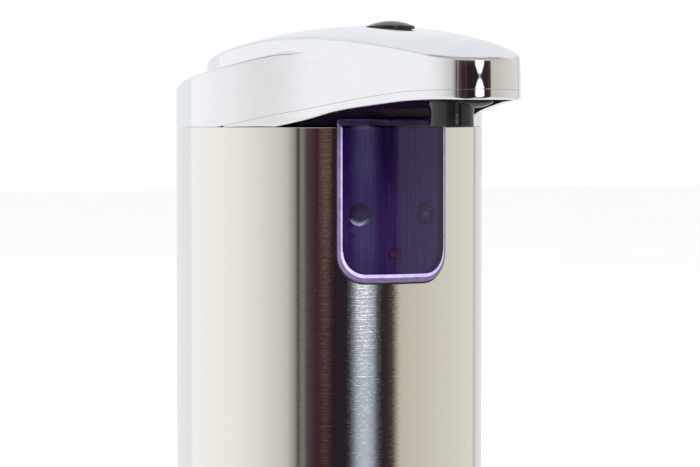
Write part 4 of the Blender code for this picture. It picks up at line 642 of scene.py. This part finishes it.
def moulded(name, colour, other, roughness, bump=0.06, spread=0.06, metallic=0.0, specular=0.5):
    """Moulded plastic, rubber or plated metal: two close shades, uneven gloss and a fine surface grain."""
    material, tree, shader = new_material(name)
    broad = grain(tree, 75, detail=4.0)
    half = spread / 2
    wire(
        tree, shader,
        Base_Color=toned(tree, broad, colour, other),
        Roughness=ranged(tree, broad, max(LEAST_ROUGHNESS, roughness - half), roughness + half),
        Metallic=metallic,
        Specular_IOR_Level=specular,
        Normal=bumped(tree, grain(tree, 1800, detail=2.0), bump, GRAIN_DEPTH),
    )
    return material


def chrome():
    """Bright plating: nearly white, with faint wipe marks and a slow ripple."""
    material, tree, shader = new_material("chrome_plating")
    smears = grain(tree, 160, stretch=(1, 1, 2.5), detail=5.0)
    wire(
        tree, shader,
        Base_Color=toned(tree, smears, (0.885, 0.888, 0.895), (0.920, 0.922, 0.926)),
        Roughness=ranged(tree, smears, 0.02, 0.05),
        Metallic=1.0,
        Normal=bumped(tree, grain(tree, 60, detail=1.0), 0.05, GRAIN_DEPTH),
    )
    return material


def polished_steel():
    """Polished steel: fine level brush lines, finer near the head, a warm tint and a few short scratches."""
    material, tree, shader = new_material("polished_steel")
    lines = grain(tree, 1, stretch=(45, 45, 9000), detail=3.0, roughness=0.7)
    grooves = grain(tree, 1, stretch=(80, 80, 2200), detail=4.0, roughness=0.7)
    smears = grain(tree, 90, stretch=(1, 1, 0.3), detail=4.0)
    shades = (0.878, 0.852, 0.780), (0.908, 0.884, 0.814)
    warm = mixed(tree, ranged(tree, lines, 0.0, 1.0, 0.25, 0.75), *shades)
    worn = ranged(tree, along(tree, "Object", UPWARD), 1.0, 0.3, SEAM_HEIGHT - BRUSH_FADE, SEAM_HEIGHT)
    wire(
        tree, shader,
        Base_Color=mixed(tree, scratches(tree), warm, (0.97, 0.97, 0.97)),
        Roughness=ranged(tree, smears, 0.02, 0.04),
        Metallic=1.0,
        Normal=bumped(tree, maths(tree, "MULTIPLY", grooves, worn), 0.8, BRUSH_DEPTH),
    )
    return material


def scratches(tree):
    """A mask of rare, short, thin marks."""
    place = object_place(tree, Scale=(420, 420, 160), Rotation=(0.35, 0.2, 0.3))
    return ranged(tree, cells(tree, 1.0, place), 0.7, 0.0, 0.03, 0.09)


def tinted_window():
    """Clear purple plastic with faint drawn lines, dust and scuffs."""
    material, tree, shader = new_material("purple_window_face")
    drawn = grain(tree, 1, stretch=(2200, 2200, 60), detail=3.0)
    dust = grain(tree, 1400, detail=5.0, roughness=0.8)
    wire(
        tree, shader,
        Base_Color=toned(tree, drawn, (0.34, 0.18, 0.64), (0.52, 0.33, 0.84)),
        Roughness=ranged(tree, dust, 0.03, 0.09, 0.45, 0.75),
        Transmission_Weight=1.0,
        IOR=ACRYLIC_IOR,
        Normal=bumped(tree, drawn, 0.30, DRAWN_DEPTH),
    )
    return material


def window_edge():
    """The window's polished slope, a paler and less clear copy of the window: a painted lilac highlight where
    it gathers light.
    """
    material, tree, shader = new_material("purple_window_edge_painted_highlight")
    drawn = grain(tree, 700, detail=3.0)
    wire(
        tree, shader,
        Base_Color=toned(tree, drawn, (0.17, 0.12, 0.24), (0.25, 0.18, 0.34)),
        Roughness=ranged(tree, drawn, 0.06, 0.16),
        Transmission_Weight=0.35,
        IOR=ACRYLIC_IOR,
    )
    return material


def window_side():
    """Painted glow standing in for the window's cut side, which passes on the light that the plate gathers:
    emission, though it is no lamp.
    """
    material, tree, shader = new_material("purple_window_side_painted_glow")
    drawn = grain(tree, 700, detail=3.0)
    tint = toned(tree, drawn, (0.34, 0.28, 0.62), (0.46, 0.39, 0.76))
    roughness = ranged(tree, drawn, 0.30, 0.45)
    # The emission strength paints the glow.
    wire(tree, shader, Base_Color=tint, Emission_Color=tint, Roughness=roughness, Emission_Strength=0.30)
    return material


def eye(name, turn, dotted):
    """A dark infrared lens behind the window: one has a pale middle, the other a painted highlight, a pale
    glow on its lower rim.
    """
    material, tree, shader = new_material(name)
    across = along(tree, "Object", (cos(turn), sin(turn), 0))
    up = maths(tree, "SUBTRACT", along(tree, "Object", UPWARD), SEAM_HEIGHT - EYE_DROP)
    squares = [maths(tree, "MULTIPLY", side, side) for side in (across, up)]
    away = maths(tree, "SQRT", maths(tree, "ADD", *squares))
    if dotted:
        mask = ranged(tree, away, 1.0, 0.0, EYE_RADIUS * 0.22, EYE_RADIUS * 0.34)
    else:
        # The emitter's painted highlight: a pale crescent on its lower rim, lit by emission.
        rim = ranged(tree, away, 0.0, 1.0, EYE_RADIUS * 0.62, EYE_RADIUS * 0.9)
        lower = ranged(tree, up, 1.0, 0.0, -EYE_RADIUS * 0.9, -EYE_RADIUS * 0.3)
        mask = maths(tree, "MULTIPLY", rim, lower)
        wire(tree, shader, Emission_Color=(0.54, 1.0, 0.49), Emission_Strength=mask)
    flow = grain(tree, 900, detail=2.0)
    dark = toned(tree, flow, (0.006, 0.005, 0.010), (0.012, 0.010, 0.018))
    # The pale colour is the receiver's own dot, and on the emitter it is part of the painted highlight.
    colour = mixed(tree, mask, dark, (0.24, 0.27, 0.22))
    wire(tree, shader, Base_Color=colour, Roughness=ranged(tree, flow, 0.10, 0.20))
    return material


def clear_tank():
    """Natural, slightly cloudy clear plastic."""
    material, tree, shader = new_material("clear_tank_plastic")
    haze = grain(tree, 220, detail=4.0)
    wire(
        tree, shader,
        Base_Color=toned(tree, haze, (0.86, 0.90, 0.92), (0.95, 0.97, 0.98)),
        Roughness=ranged(tree, haze, 0.12, 0.28),
        Transmission_Weight=0.85,
        IOR=ACRYLIC_IOR,
        Normal=bumped(tree, haze, 0.05, HAZE_DEPTH),
    )
    return material


def circuit_board():
    """Green solder mask over a raised grid of tracks and bright pads."""
    material, tree, shader = new_material("circuit_board_green")
    tracks = node(tree, "ShaderNodeTexBrick")
    wire(
        tree, tracks,
        Vector=object_place(tree, Rotation=(pi / 2, 0, 0)),
        Scale=420.0,
        Mortar_Size=0.035,
        Color1=(0.010, 0.130, 0.055),
        Color2=(0.012, 0.165, 0.070),
        Mortar=(0.030, 0.300, 0.120),
    )
    pads = cells(tree, 380.0, object_place(tree))
    mask = ranged(tree, pads, 1.0, 0.0, 0.10, 0.14)
    wire(
        tree, shader,
        Base_Color=mixed(tree, mask, tracks.outputs["Color"], (0.78, 0.76, 0.70)),
        Roughness=ranged(tree, mask, 0.38, 0.22, 0.0, 1.0),
        Metallic=mask,
        Normal=bumped(tree, mask, 0.2, TRACK_DEPTH),
    )
    return material


def cell_sleeve():
    """A plain cell's sleeve: dark with one copper band."""
    material, tree, shader = new_material("cell_sleeve_film")
    band = ranged(tree, along(tree, "Object", UPWARD), 0.0, 1.0, *BAND_LEVELS)
    flow = grain(tree, 500, detail=3.0)
    dark = toned(tree, flow, (0.020, 0.022, 0.026), (0.035, 0.037, 0.042))
    wire(
        tree, shader,
        Base_Color=mixed(tree, band, dark, (0.55, 0.27, 0.13)),
        Roughness=ranged(tree, flow, 0.22, 0.34),
        Metallic=ranged(tree, band, 0.1, 0.8, 0.0, 1.0),
    )
    return material


def lamp_red():
    """The status lamp's red resin, softly lit from inside."""
    material, tree, shader = new_material("red_lamp_resin")
    flow = grain(tree, 900, detail=2.0)
    wire(
        tree, shader,
        Base_Color=toned(tree, flow, (0.13, 0.010, 0.030), (0.19, 0.016, 0.046)),
        Roughness=ranged(tree, flow, 0.08, 0.18),
        Emission_Color=(0.9, 0.02, 0.12),
        Emission_Strength=0.015,
    )
    return material


CHROME = chrome()
STEEL = polished_steel()
BLACK_GLOSS = moulded(
    "gloss_black_plastic", (0.010, 0.010, 0.013), (0.018, 0.017, 0.021), 0.10, bump=0.03, specular=0.2
)
PANEL_BLACK = moulded(
    "violet_gloss_plastic", (0.006, 0.003, 0.009), (0.010, 0.005, 0.015), 0.08, bump=0.03, specular=0.08
)
BLACK_SATIN = moulded("satin_black_plastic", (0.010, 0.010, 0.010), (0.018, 0.017, 0.017), 0.13, bump=0.05)
BLACK_BUTTON = moulded(
    "black_button_plastic", (0.015, 0.012, 0.010), (0.024, 0.020, 0.016), 0.16, bump=0.05, specular=0.3
)
BLACK_MATT = moulded("matt_black_plastic", (0.020, 0.020, 0.022), (0.032, 0.032, 0.034), 0.46, bump=0.25)
WINDOW = tinted_window()
WINDOW_EDGE_HIGHLIGHT = window_edge()
WINDOW_SIDE_GLOW = window_side()
BRACKET = moulded("violet_grey_plastic", (0.055, 0.055, 0.085), (0.070, 0.068, 0.105), 0.30, bump=0.10)
TANK = clear_tank()
WHITE_PLASTIC = moulded("white_acetal", (0.70, 0.70, 0.67), (0.78, 0.78, 0.75), 0.34, bump=0.12)
RUBBER = moulded("black_rubber", (0.018, 0.018, 0.018), (0.034, 0.033, 0.032), 0.72, bump=0.35)
SILICONE = moulded("milky_silicone", (0.70, 0.70, 0.67), (0.80, 0.80, 0.78), 0.42, bump=0.10)
BOARD = circuit_board()
ZINC = moulded("zinc_plated_steel", (0.56, 0.56, 0.54), (0.70, 0.69, 0.66), 0.30, metallic=1.0, spread=0.14)
CONTACT = moulded("nickel_contact", (0.66, 0.63, 0.56), (0.76, 0.74, 0.68), 0.22, metallic=1.0, spread=0.10)
CELL = cell_sleeve()
EMITTER = eye("emitter_resin_painted_highlight", -EYE_ANGLE, False)
RECEIVER = eye("receiver_resin", EYE_ANGLE, True)
RED_LAMP = lamp_red()

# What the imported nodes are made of, by the start of their names
DRESSING = (
    (BLACK_MATT, ("base_cap", "battery_plate", "board_bracket", "chassis", "collar_ring", "switch_plunger")),
    (BOARD, ("button_board", "main_board", "sensor_board")),
    (BRACKET, ("sensor_bracket",)),
    (CELL, ("battery",)),
    (CONTACT, ("battery_spring", "bridge_contact", "top_contact")),
    (EMITTER, ("ir_emitter",)),
    (RECEIVER, ("ir_receiver",)),
    (RED_LAMP, ("status_led",)),
    (RUBBER, ("foot_pad", "refill_gasket", "shaft_seal", "tank_seal")),
    (SILICONE, ("outlet_tube",)),
    (TANK, ("filler_neck", "soap_tank", "tank_lid")),
    (WHITE_PLASTIC, ("drive_gear", "idler_gear", "nozzle_elbow", "pump_cover", "pump_housing")),
    (ZINC, ("button_switch", "idler_pin", "motor", "plate_screw", "pump_screw", "spout_screw")),
)


def dress_frame():
    """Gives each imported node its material, that of the longest start in the table that fits its name."""
    starts = {start: material for material, names in DRESSING for start in names}
    for name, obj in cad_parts.items():
        start = max((start for start in starts if name.startswith(start)), key=len, default=None)
        if start is not None:
            obj.data.materials.clear()
            obj.data.materials.append(starts[start])


def finished(obj, material, body, slot, *nodes):
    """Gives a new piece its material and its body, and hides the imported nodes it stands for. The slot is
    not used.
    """
    obj.data.materials.clear()
    obj.data.materials.append(material)
    if not obj.data.has_custom_normals:
        shade(obj)
    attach(obj, body)
    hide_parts(*nodes)
    return obj


# Pieces

def make_head_cover():
    """The hollow head, with the openings for the button and the refill cap."""
    stations = spout_stations()
    outside = band_rings(stations) + crest_rings(stations)
    outside += dome_rings(stations, CREST_ROUNDING, 0, DOME_RINGS)
    cover = skin("chrome_head", inner_rings(stations)[::-1] + outside)
    button_hole = post("button_hole", BUTTON_RADIUS + GAP, BUTTON_HOLE_LOW, HOLE_TOP, (0, -BUTTON_DISTANCE))
    refill_hole = post("refill_hole", CAP_RADIUS + GAP, REFILL_HOLE_LOW, HOLE_TOP, (0, NECK_OFFSET))
    cut(cover, button_hole, refill_hole)
    return finished(cover, CHROME, "housing", "chrome", "head_cover")


def make_head_trim():
    """The strip under the parting line, where the head's edge has risen enough to leave room for it."""
    rows = []
    for station in spout_stations():
        distance = band_point(station)[1]
        top = smooth_height(PARTING_SHARES, distance) - FINE_GAP
        low = max(FINE_GAP, smooth_height(RIM_SHARES, distance))
        if top - low < LEAST_STRIP:
            continue
        outer, inner = band_point(station), band_point(station, HEAD_WALL)
        edge = min(RIM_ROUNDING, (top - low) / 3)
        row = [placed(inner, low), placed(between(outer, inner, edge / HEAD_WALL), low)]
        for step in range(1, RIM_STEPS):
            turn = pi / 2 * step / RIM_STEPS
            share = edge * (1 - sin(turn)) / HEAD_WALL
            row.append(placed(between(outer, inner, share), low + edge * (1 - cos(turn))))
        hold = min(EDGE_HOLD, (top - low) / 8)
        levels = (low + edge, low + edge + hold, top - PARTING_BREAK - hold, top - PARTING_BREAK)
        row += [placed(outer, level) for level in levels]
        row += [placed(between(outer, inner, PARTING_BREAK / HEAD_WALL), top), placed(inner, top)]
        rows.append(row)
    trim = skin("chrome_strip", rows)
    return finished(trim, CHROME, "housing", "chrome", "head_trim")


def make_spout_panel():
    """The spout's underside: a level plate with a cove up to it from the body, cut to the spout's outline."""
    wall = BODY_RADIUS - PANEL_RECESS
    low = SEAM_HEIGHT + GAP / 2
    far = SPOUT_REACH * 1.1
    turns = [pi / 2 * i / COVE_STEPS for i in range(COVE_STEPS + 1)]
    cove = [(1 - cos(turn), 1 - sin(turn)) for turn in turns]
    outer = COVE_RADIUS + PANEL_THICKNESS
    under = [(wall + COVE_RADIUS * across, PANEL_LOW - COVE_RADIUS * down) for across, down in cove]
    over = [(wall - PANEL_THICKNESS + outer * across, PANEL_TOP - outer * down) for across, down in cove]
    profile = [(far, PANEL_TOP), (far, PANEL_LOW)] + under[::-1]
    profile += [(wall, low), (wall - PANEL_THICKNESS, low)] + over
    panel = turned("spout_underside", profile, steps=SHELL_STEPS)
    outline = [spout_point(station, HEAD_WALL + GAP) for station in spout_stations()]
    under_plate, over_plate = PANEL_LOW - CUT_OVERRUN, PANEL_TOP + CUT_OVERRUN
    rows = [[(side, -distance, z) for side, distance in outline] for z in (low - CUT_OVERRUN, over_plate)]
    combined(panel, ("INTERSECT", skin("panel_outline", rows)))
    nozzle_hole = post("nozzle_hole", STEM_RADIUS + GAP, under_plate, over_plate, (0, -NOZZLE_DISTANCE))
    screw_hole = post("screw_hole", SCREW_HEAD_RADIUS + GAP, under_plate, over_plate, (0, -PLUG_DISTANCE))
    cut(panel, nozzle_hole, screw_hole)
    return finished(panel, PANEL_BLACK, "housing", "black_gloss", "spout_panel")


def make_nozzle():
    """The waisted nozzle, as one smooth turned curve with a rounded mouth."""
    low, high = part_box("nozzle")[0][2], PANEL_LOW - GAP
    tall = high - low
    stem_top = PANEL_TOP + STEM_RISE
    profile = [(NOZZLE_BORE, stem_top), (STEM_RADIUS, stem_top), (STEM_RADIUS, high)]
    profile += [(radius, high - tall * share) for share, radius in NOZZLE_OUTLINE]
    profile += [(NOZZLE_MOUTH_RADIUS + NOZZLE_LIP, low), (NOZZLE_MOUTH_RADIUS, low + EDGE_BREAK)]
    profile += [(NOZZLE_BORE, low + tall / 3)]
    nozzle = turned("outlet_nozzle", profile, (0, -NOZZLE_DISTANCE))
    return finished(nozzle, BLACK_SATIN, "housing", "black_gloss", "nozzle")


def make_plug():
    """The dome over the spout's screw."""
    top = PANEL_LOW - GAP
    profile = [(0, top), (PLUG_RADIUS, top), (PLUG_RADIUS, top - PLUG_EDGE * 0.7)]
    sag = PLUG_HEIGHT - PLUG_EDGE
    for step in range(1, PLUG_STEPS):
        across = cos(pi / 2 * step / PLUG_STEPS)
        profile.append((PLUG_RADIUS * across, top - PLUG_EDGE - sag * (1 - across**2)))
    profile.append((0, top - PLUG_HEIGHT))
    plug = turned("screw_dome", profile, (0, -PLUG_DISTANCE))
    return finished(plug, BLACK_GLOSS, "housing", "black_gloss", "screw_plug")


def make_button():
    """The dome button, with the flange that stops it under the roof."""
    low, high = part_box("power_button")[0][2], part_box("power_button")[1][2]
    edge = high - BUTTON_PROUD
    profile = [(0, high)]
    for step in range(1, BUTTON_STEPS + 1):
        share = step / BUTTON_STEPS
        profile.append((BUTTON_RADIUS * share, edge + BUTTON_PROUD * (1 - share**2)))
    flange_top = low + BUTTON_FLANGE_HEIGHT
    wide = BUTTON_RADIUS + BUTTON_FLANGE
    profile += [(BUTTON_RADIUS, edge - EDGE_BREAK), (BUTTON_RADIUS, flange_top)]
    profile += [(wide, flange_top), (wide, low), (0, low)]
    button = turned("dome_button", profile, (0, -BUTTON_DISTANCE))
    return finished(button, BLACK_BUTTON, "button", "black_gloss", "power_button")


def make_body_shell():
    """The steel tube with eased edges and the window's notch."""
    bore, top = BODY_RADIUS - SHELL_WALL, SEAM_HEIGHT - FINE_GAP
    square = [(BODY_RADIUS, top), (BODY_RADIUS, SHELL_LOW), (bore, SHELL_LOW), (bore, top)]
    shell = turned("steel_column", broken_profile(square), steps=SHELL_STEPS)
    outline = window_outline(GAP, WINDOW_RISE + CUT_OVERRUN)
    notch = curved_plate("notch", [(outline, bore - CUT_OVERRUN), (outline, WINDOW_RADIUS + CUT_OVERRUN)])
    cut(shell, notch)
    return finished(shell, STEEL, "housing", "steel_shell", "body_shell")


def make_window():
    """The window: a flush edge, a polished slope with rounded shoulders, and a curved face."""
    back = WINDOW_RADIUS - WINDOW_THICKNESS
    flush = BODY_RADIUS
    rows = [(window_outline(0, WINDOW_RISE), back), (window_outline(0, WINDOW_RISE), flush - EDGE_BREAK)]
    for share, rise in WINDOW_SLOPE:
        rows.append((window_outline(0, WINDOW_RISE, WINDOW_BEVEL * share), flush + WINDOW_PROUD * rise))
    window = curved_plate("purple_window", rows)
    window.data.materials.clear()
    finished(window, WINDOW, "housing", "purple_window", "sensor_window")
    window.data.materials.append(WINDOW_EDGE_HIGHLIGHT)
    window.data.materials.append(WINDOW_SIDE_GLOW)
    # Painted highlight and glow: below the top, the slope and cut side take the paler edge copy, the slope
    # beside the face takes the glowing copy, and the top and the face keep the plain window.
    for face in window.data.polygons:
        x, y, z = face.center
        out = (hypot(x, y) - flush) / WINDOW_PROUD
        facing = Vector((x, y, 0)).normalized().dot(face.normal)
        if z > SEAM_HEIGHT - WINDOW_BEVEL or facing < -0.5 or out > 1 - BEVEL_MARGIN:
            continue
        face.material_index = 2 if out > INNER_SLOPE else 1
    return window


def make_refill_cap():
    """The flush cap: the head's own dome, cut round, on a hollow skirt."""
    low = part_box("refill_cap")[0][2]
    stations = spout_stations()
    bottom = [placed(spout_point(station, CREST_ROUNDING), HEAD_HEIGHT * 0.25) for station in stations]
    dome = skin("dome", [bottom] + dome_rings(stations, CREST_ROUNDING, 0, DOME_RINGS))
    whole = dome.data.copy()
    edge = cap_low()
    at = (0, NECK_OFFSET)
    cap = post("refill_lid", CAP_RADIUS, edge, HOLE_TOP, at)
    bore, top = CAP_SKIRT_RADIUS - CAP_SKIRT_WALL, edge + CAP_SKIRT_SINK
    outline = [(CAP_SKIRT_RADIUS, top), (CAP_SKIRT_RADIUS, low), (bore, low), (bore, top)]
    skirt = turned("skirt", outline, at)
    ridge = SEAM_HEIGHT + smooth_height(RIDGE_SHARES, 0)
    notch_at = (0, NECK_OFFSET + CAP_RADIUS - NOTCH_INSET + NOTCH_RADIUS / 2)
    notch = post("notch", NOTCH_RADIUS, ridge - NOTCH_DEPTH, ridge + CUT_OVERRUN, notch_at)
    combined(cap, ("INTERSECT", dome), ("UNION", skirt), ("DIFFERENCE", notch))
    shade(cap)
    keep_normals(cap.data, whole)
    return finished(cap, CHROME, "cap", "chrome", "refill_cap")


def cap_low():
    """The level of the cap's underside."""
    lateral = 1 - (CAP_RADIUS / SPOUT_REAR_RADIUS) ** 2
    crest = smooth_height(CREST_SHARES, 0)
    return SEAM_HEIGHT + crest + (smooth_height(RIDGE_SHARES, 0) - crest) * lateral - CAP_EDGE


# Stage

# The studio's walls, as (degrees to the right of the camera, colour): pale, with a dark opening round the
# camera
STUDIO = (
    (-180, (0.85, 0.88, 0.92)),
    (-127, (0.85, 0.88, 0.92)),
    (-125, (0.98, 0.99, 1.02)),
    (-80, (0.91, 0.91, 0.93)),
    (-56, (0.79, 0.79, 0.80)),
    (-36, (0.63, 0.61, 0.60)),
    (-31, (0.56, 0.54, 0.52)),
    (-29, (0.44, 0.42, 0.40)),
    (-24.4, (0.26, 0.25, 0.24)),
    (-23.5, (0.034, 0.033, 0.032)),
    (-22, (0.034, 0.033, 0.032)),
    (-21, (0.24, 0.23, 0.22)),
    (-19, (0.215, 0.20, 0.21)),
    (-17, (0.090, 0.060, 0.065)),
    (-14, (0.070, 0.044, 0.052)),
    (-9.5, (0.048, 0.020, 0.027)),
    (-4.5, (0.040, 0.018, 0.024)),
    (-3, (0.085, 0.044, 0.044)),
    (-1.5, (0.040, 0.018, 0.024)),
    (3, (0.020, 0.014, 0.019)),
    (38, (0.024, 0.020, 0.027)),
    (43, (0.030, 0.021, 0.023)),
    (46, (0.062, 0.036, 0.028)),
    (50.2, (0.062, 0.036, 0.028)),
    (51.4, (0.55, 0.525, 0.47)),
    (90, (0.66, 0.645, 0.60)),
    (133, (0.745, 0.735, 0.70)),
    (139, (0.745, 0.735, 0.70)),
    (141, (0.22, 0.21, 0.20)),
    (143, (0.72, 0.72, 0.72)),
    (168, (0.80, 0.82, 0.85)),
    (180, (0.85, 0.88, 0.92)),
)

# The opening's tall lamp and copper drape. A level is the height of a direction one unit long.
LAMP_MIDDLE = radians(26.2)
LAMP_NARROW = radians(1.5)
LAMP_WIDE = radians(9.0)
LAMP_LEVEL = 0.062
LAMP_WIDENING = (0.0, 0.045)
LAMP_EDGE = (-0.09, 0.03)
LAMP_DIM = ((0.22, 0.25, 0.31), (0.70, 0.80, 0.98))
LAMP_WAVE = 0.025
LAMP_CREST = -0.0135
LAMP_BRIGHT = (3.0, 3.05, 3.15)
BRIGHT_FOOT = (0.0, 0.006)
BRIGHT_WAIST = (0.006, 0.016)
DRAPE = (0.20, 0.110, 0.098)
DRAPE_MIDDLE = radians(-2.8)
DRAPE_HALF = radians(5.5)
DRAPE_NARROWING = (-0.080, -0.010)
DRAPE_TOP = (-0.024, 0.010)
DRAPE_FOOT = (-0.080, -0.035)

# The rest of the studio
DARK_MIDDLE = radians(11)
DARK_HALF = radians(40)
DARK_DEPTH = 0.9
LINTEL = (0.58, 0.56, 0.53)
LINTEL_LEVELS = (0.122, 0.128)
CEILING_AHEAD = (0.42, 0.42, 0.43)
CEILING_BEHIND = (0.82, 0.85, 0.89)
CEILING_TURN = (radians(85), radians(115))
CEILING_LEVELS = (0.30, 0.45)
OVERHEAD = (0.78, 0.81, 0.85)
OVERHEAD_LEVELS = (0.80, 0.90)
TABLE = (0.88, 0.88, 0.88)
TABLE_LEVELS = (-0.50, -0.38)
ROOM_LIGHT = (1.07, 1.07, 1.07)
WHITE = (1.0, 1.0, 1.0)
FLOOR_HALF_WIDTH = 6
SOFTBOX_SIZE = (0.9, 0.7)
SOFTBOX_WATTS = 16.0
SOFTBOX_PLACE = (-0.75, -0.55, 1.0)
SOFTBOX_TARGET = Vector((0, -0.02, 0.1))


def make_floor():
    """A large pale floor, which the polished surfaces don't mirror."""
    shape = bmesh.new()
    bmesh.ops.create_grid(shape, x_segments=2, y_segments=2, size=FLOOR_HALF_WIDTH)
    floor = object_from("studio_floor", shape)
    material, tree, shader = new_material("pale_floor")
    tint = toned(tree, grain(tree, 3, detail=2.0), (0.94, 0.94, 0.94), (0.96, 0.96, 0.96))
    wire(tree, shader, Base_Color=tint, Roughness=0.9)
    floor.data.materials.append(material)
    floor.visible_glossy = False


def studio_direction(tree):
    """A direction's angle to the right of the camera, and its level."""
    right = along(tree, "Generated", (cos(CAMERA_AZIMUTH), sin(CAMERA_AZIMUTH), 0))
    ahead = along(tree, "Generated", (sin(CAMERA_AZIMUTH), -cos(CAMERA_AZIMUTH), 0))
    return maths(tree, "ARCTAN2", right, ahead), along(tree, "Generated", UPWARD)


def away_from(tree, value, middle):
    return maths(tree, "ABSOLUTE", maths(tree, "SUBTRACT", value, middle))


def wall_colour(tree, angle):
    ramp = node(tree, "ShaderNodeValToRGB")
    stops = ramp.color_ramp.elements
    stops[0].position, stops[1].position = 0.0, 1.0
    for degrees, _ in STUDIO[1:-1]:
        stops.new((degrees + 180) / 360)
    for stop, (_, colour) in zip(stops, STUDIO):
        stop.color = (*colour, 1)
    return wire(tree, ramp, Fac=ranged(tree, angle, 0.0, 1.0, -pi, pi)).outputs["Color"]


def tall_lamp(tree, angle, level):
    """A mask and a colour: a lamp with a waist, which has two bright ends and is dim and waved elsewhere."""
    off_level = away_from(tree, level, LAMP_LEVEL)
    half_width = ranged(tree, off_level, LAMP_NARROW, LAMP_WIDE, *LAMP_WIDENING)
    outside = maths(tree, "SUBTRACT", away_from(tree, angle, LAMP_MIDDLE), half_width)
    foot = ranged(tree, level, 0.0, 1.0, *BRIGHT_FOOT)
    bright = maths(tree, "MULTIPLY", foot, ranged(tree, off_level, 0.0, 1.0, *BRIGHT_WAIST))
    phase = ranged(tree, level, 0.0, 2 * pi, LAMP_CREST, LAMP_CREST + LAMP_WAVE)
    phase.node.clamp = False
    dim = mixed(tree, ranged(tree, maths(tree, "COSINE", phase), 0.0, 1.0, -1.0, 1.0), *LAMP_DIM)
    return ranged(tree, outside, 1.0, 0.0, *LAMP_EDGE), mixed(tree, bright, dim, LAMP_BRIGHT)


def drape_mask(tree, angle, level):
    """Where the drape hangs, narrower towards its foot."""
    narrower = ranged(tree, level, DRAPE_HALF * 0.8, 0.0, *DRAPE_NARROWING)
    outside = maths(tree, "ADD", away_from(tree, angle, DRAPE_MIDDLE), narrower)
    mask = ranged(tree, outside, 1.0, 0.0, DRAPE_HALF * 0.85, DRAPE_HALF)
    mask = maths(tree, "MULTIPLY", mask, ranged(tree, level, 1.0, 0.0, *DRAPE_TOP))
    return maths(tree, "MULTIPLY", mask, ranged(tree, level, 0.0, 1.0, *DRAPE_FOOT))


def make_world():
    """A studio by direction: walls round the object, a pale ceiling, and plain white behind it all."""
    world = bpy.data.worlds.new("studio")
    world.use_nodes = True
    bpy.context.scene.world = world
    tree = world.node_tree
    tree.nodes.clear()
    angle, level = studio_direction(tree)
    walls = mixed(tree, drape_mask(tree, angle, level), wall_colour(tree, angle), DRAPE)
    lit, lamp = tall_lamp(tree, angle, level)
    walls = mixed(tree, lit, walls, lamp)
    dark = ranged(tree, away_from(tree, angle, DARK_MIDDLE), 1.0, 0.0, DARK_HALF * 0.98, DARK_HALF * 1.02)
    above = ranged(tree, level, 0.0, 1.0, *LINTEL_LEVELS)
    walls = mixed(tree, maths(tree, "MULTIPLY", dark, above), walls, LINTEL)
    behind = ranged(tree, maths(tree, "ABSOLUTE", angle), 0.0, 1.0, *CEILING_TURN)
    ceiling = mixed(tree, behind, CEILING_AHEAD, CEILING_BEHIND)
    walls = mixed(tree, ranged(tree, level, 0.0, 1.0, *CEILING_LEVELS), walls, ceiling)
    walls = mixed(tree, ranged(tree, level, 0.0, 1.0, *OVERHEAD_LEVELS), walls, OVERHEAD)
    table_level = maths(tree, "ADD", level, maths(tree, "MULTIPLY", dark, DARK_DEPTH))
    walls = mixed(tree, ranged(tree, table_level, 1.0, 0.0, *TABLE_LEVELS), walls, TABLE)
    rays = node(tree, "ShaderNodeLightPath")
    seen = mixed(tree, rays.outputs["Is Diffuse Ray"], walls, ROOM_LIGHT)
    seen = mixed(tree, rays.outputs["Is Camera Ray"], seen, WHITE)
    background = wire(tree, node(tree, "ShaderNodeBackground"), Color=seen)
    wire(tree, node(tree, "ShaderNodeOutputWorld"), Surface=background.outputs["Background"])


def make_lamp():
    """A broad soft lamp above and to the left, for a gentle shadow on the floor."""
    light = bpy.data.lights.new("softbox", "AREA")
    light.shape = "RECTANGLE"
    light.size, light.size_y = SOFTBOX_SIZE
    light.energy = SOFTBOX_WATTS
    lamp = bpy.data.objects.new("softbox", light)
    lamp.location = SOFTBOX_PLACE
    lamp.rotation_euler = (SOFTBOX_TARGET - lamp.location).to_track_quat("-Z", "Y").to_euler()
    lamp.visible_glossy = False
    bpy.context.scene.collection.objects.link(lamp)


def make_camera():
    """The photograph's camera: level with the seam, turned to put the body's axis where the photo has it."""
    data = bpy.data.cameras.new("camera")
    data.sensor_width = SENSOR_WIDTH
    data.lens = FOCAL_PIXELS * SENSOR_WIDTH / IMAGE_WIDTH
    data.clip_start, data.clip_end = CAMERA_CLIP
    camera = bpy.data.objects.new("camera", data)
    towards = Vector((sin(CAMERA_AZIMUTH), -cos(CAMERA_AZIMUTH), 0))
    yaw = atan((IMAGE_WIDTH / 2 - AXIS_PIXEL) / FOCAL_PIXELS)
    pitch = atan((IMAGE_HEIGHT / 2 - HORIZON_PIXEL) / FOCAL_PIXELS)
    facing = (-towards).to_track_quat("-Z", "Y").to_matrix().to_4x4()
    camera.matrix_world = (
        Matrix.Translation(towards * CAMERA_DISTANCE + Vector((0, 0, SEAM_HEIGHT)))
        @ facing
        @ Matrix.Rotation(-yaw, 4, "Y")
        @ Matrix.Rotation(-pitch, 4, "X")
    )
    bpy.context.scene.collection.objects.link(camera)
    bpy.context.scene.camera = camera


dress_frame()
make_head_cover()
make_head_trim()
make_spout_panel()
make_nozzle()
make_plug()
make_button()
make_body_shell()
make_window()
make_refill_cap()
make_floor()
make_world()
make_lamp()
make_camera()
bpy.context.scene.view_settings.view_transform = "Standard"
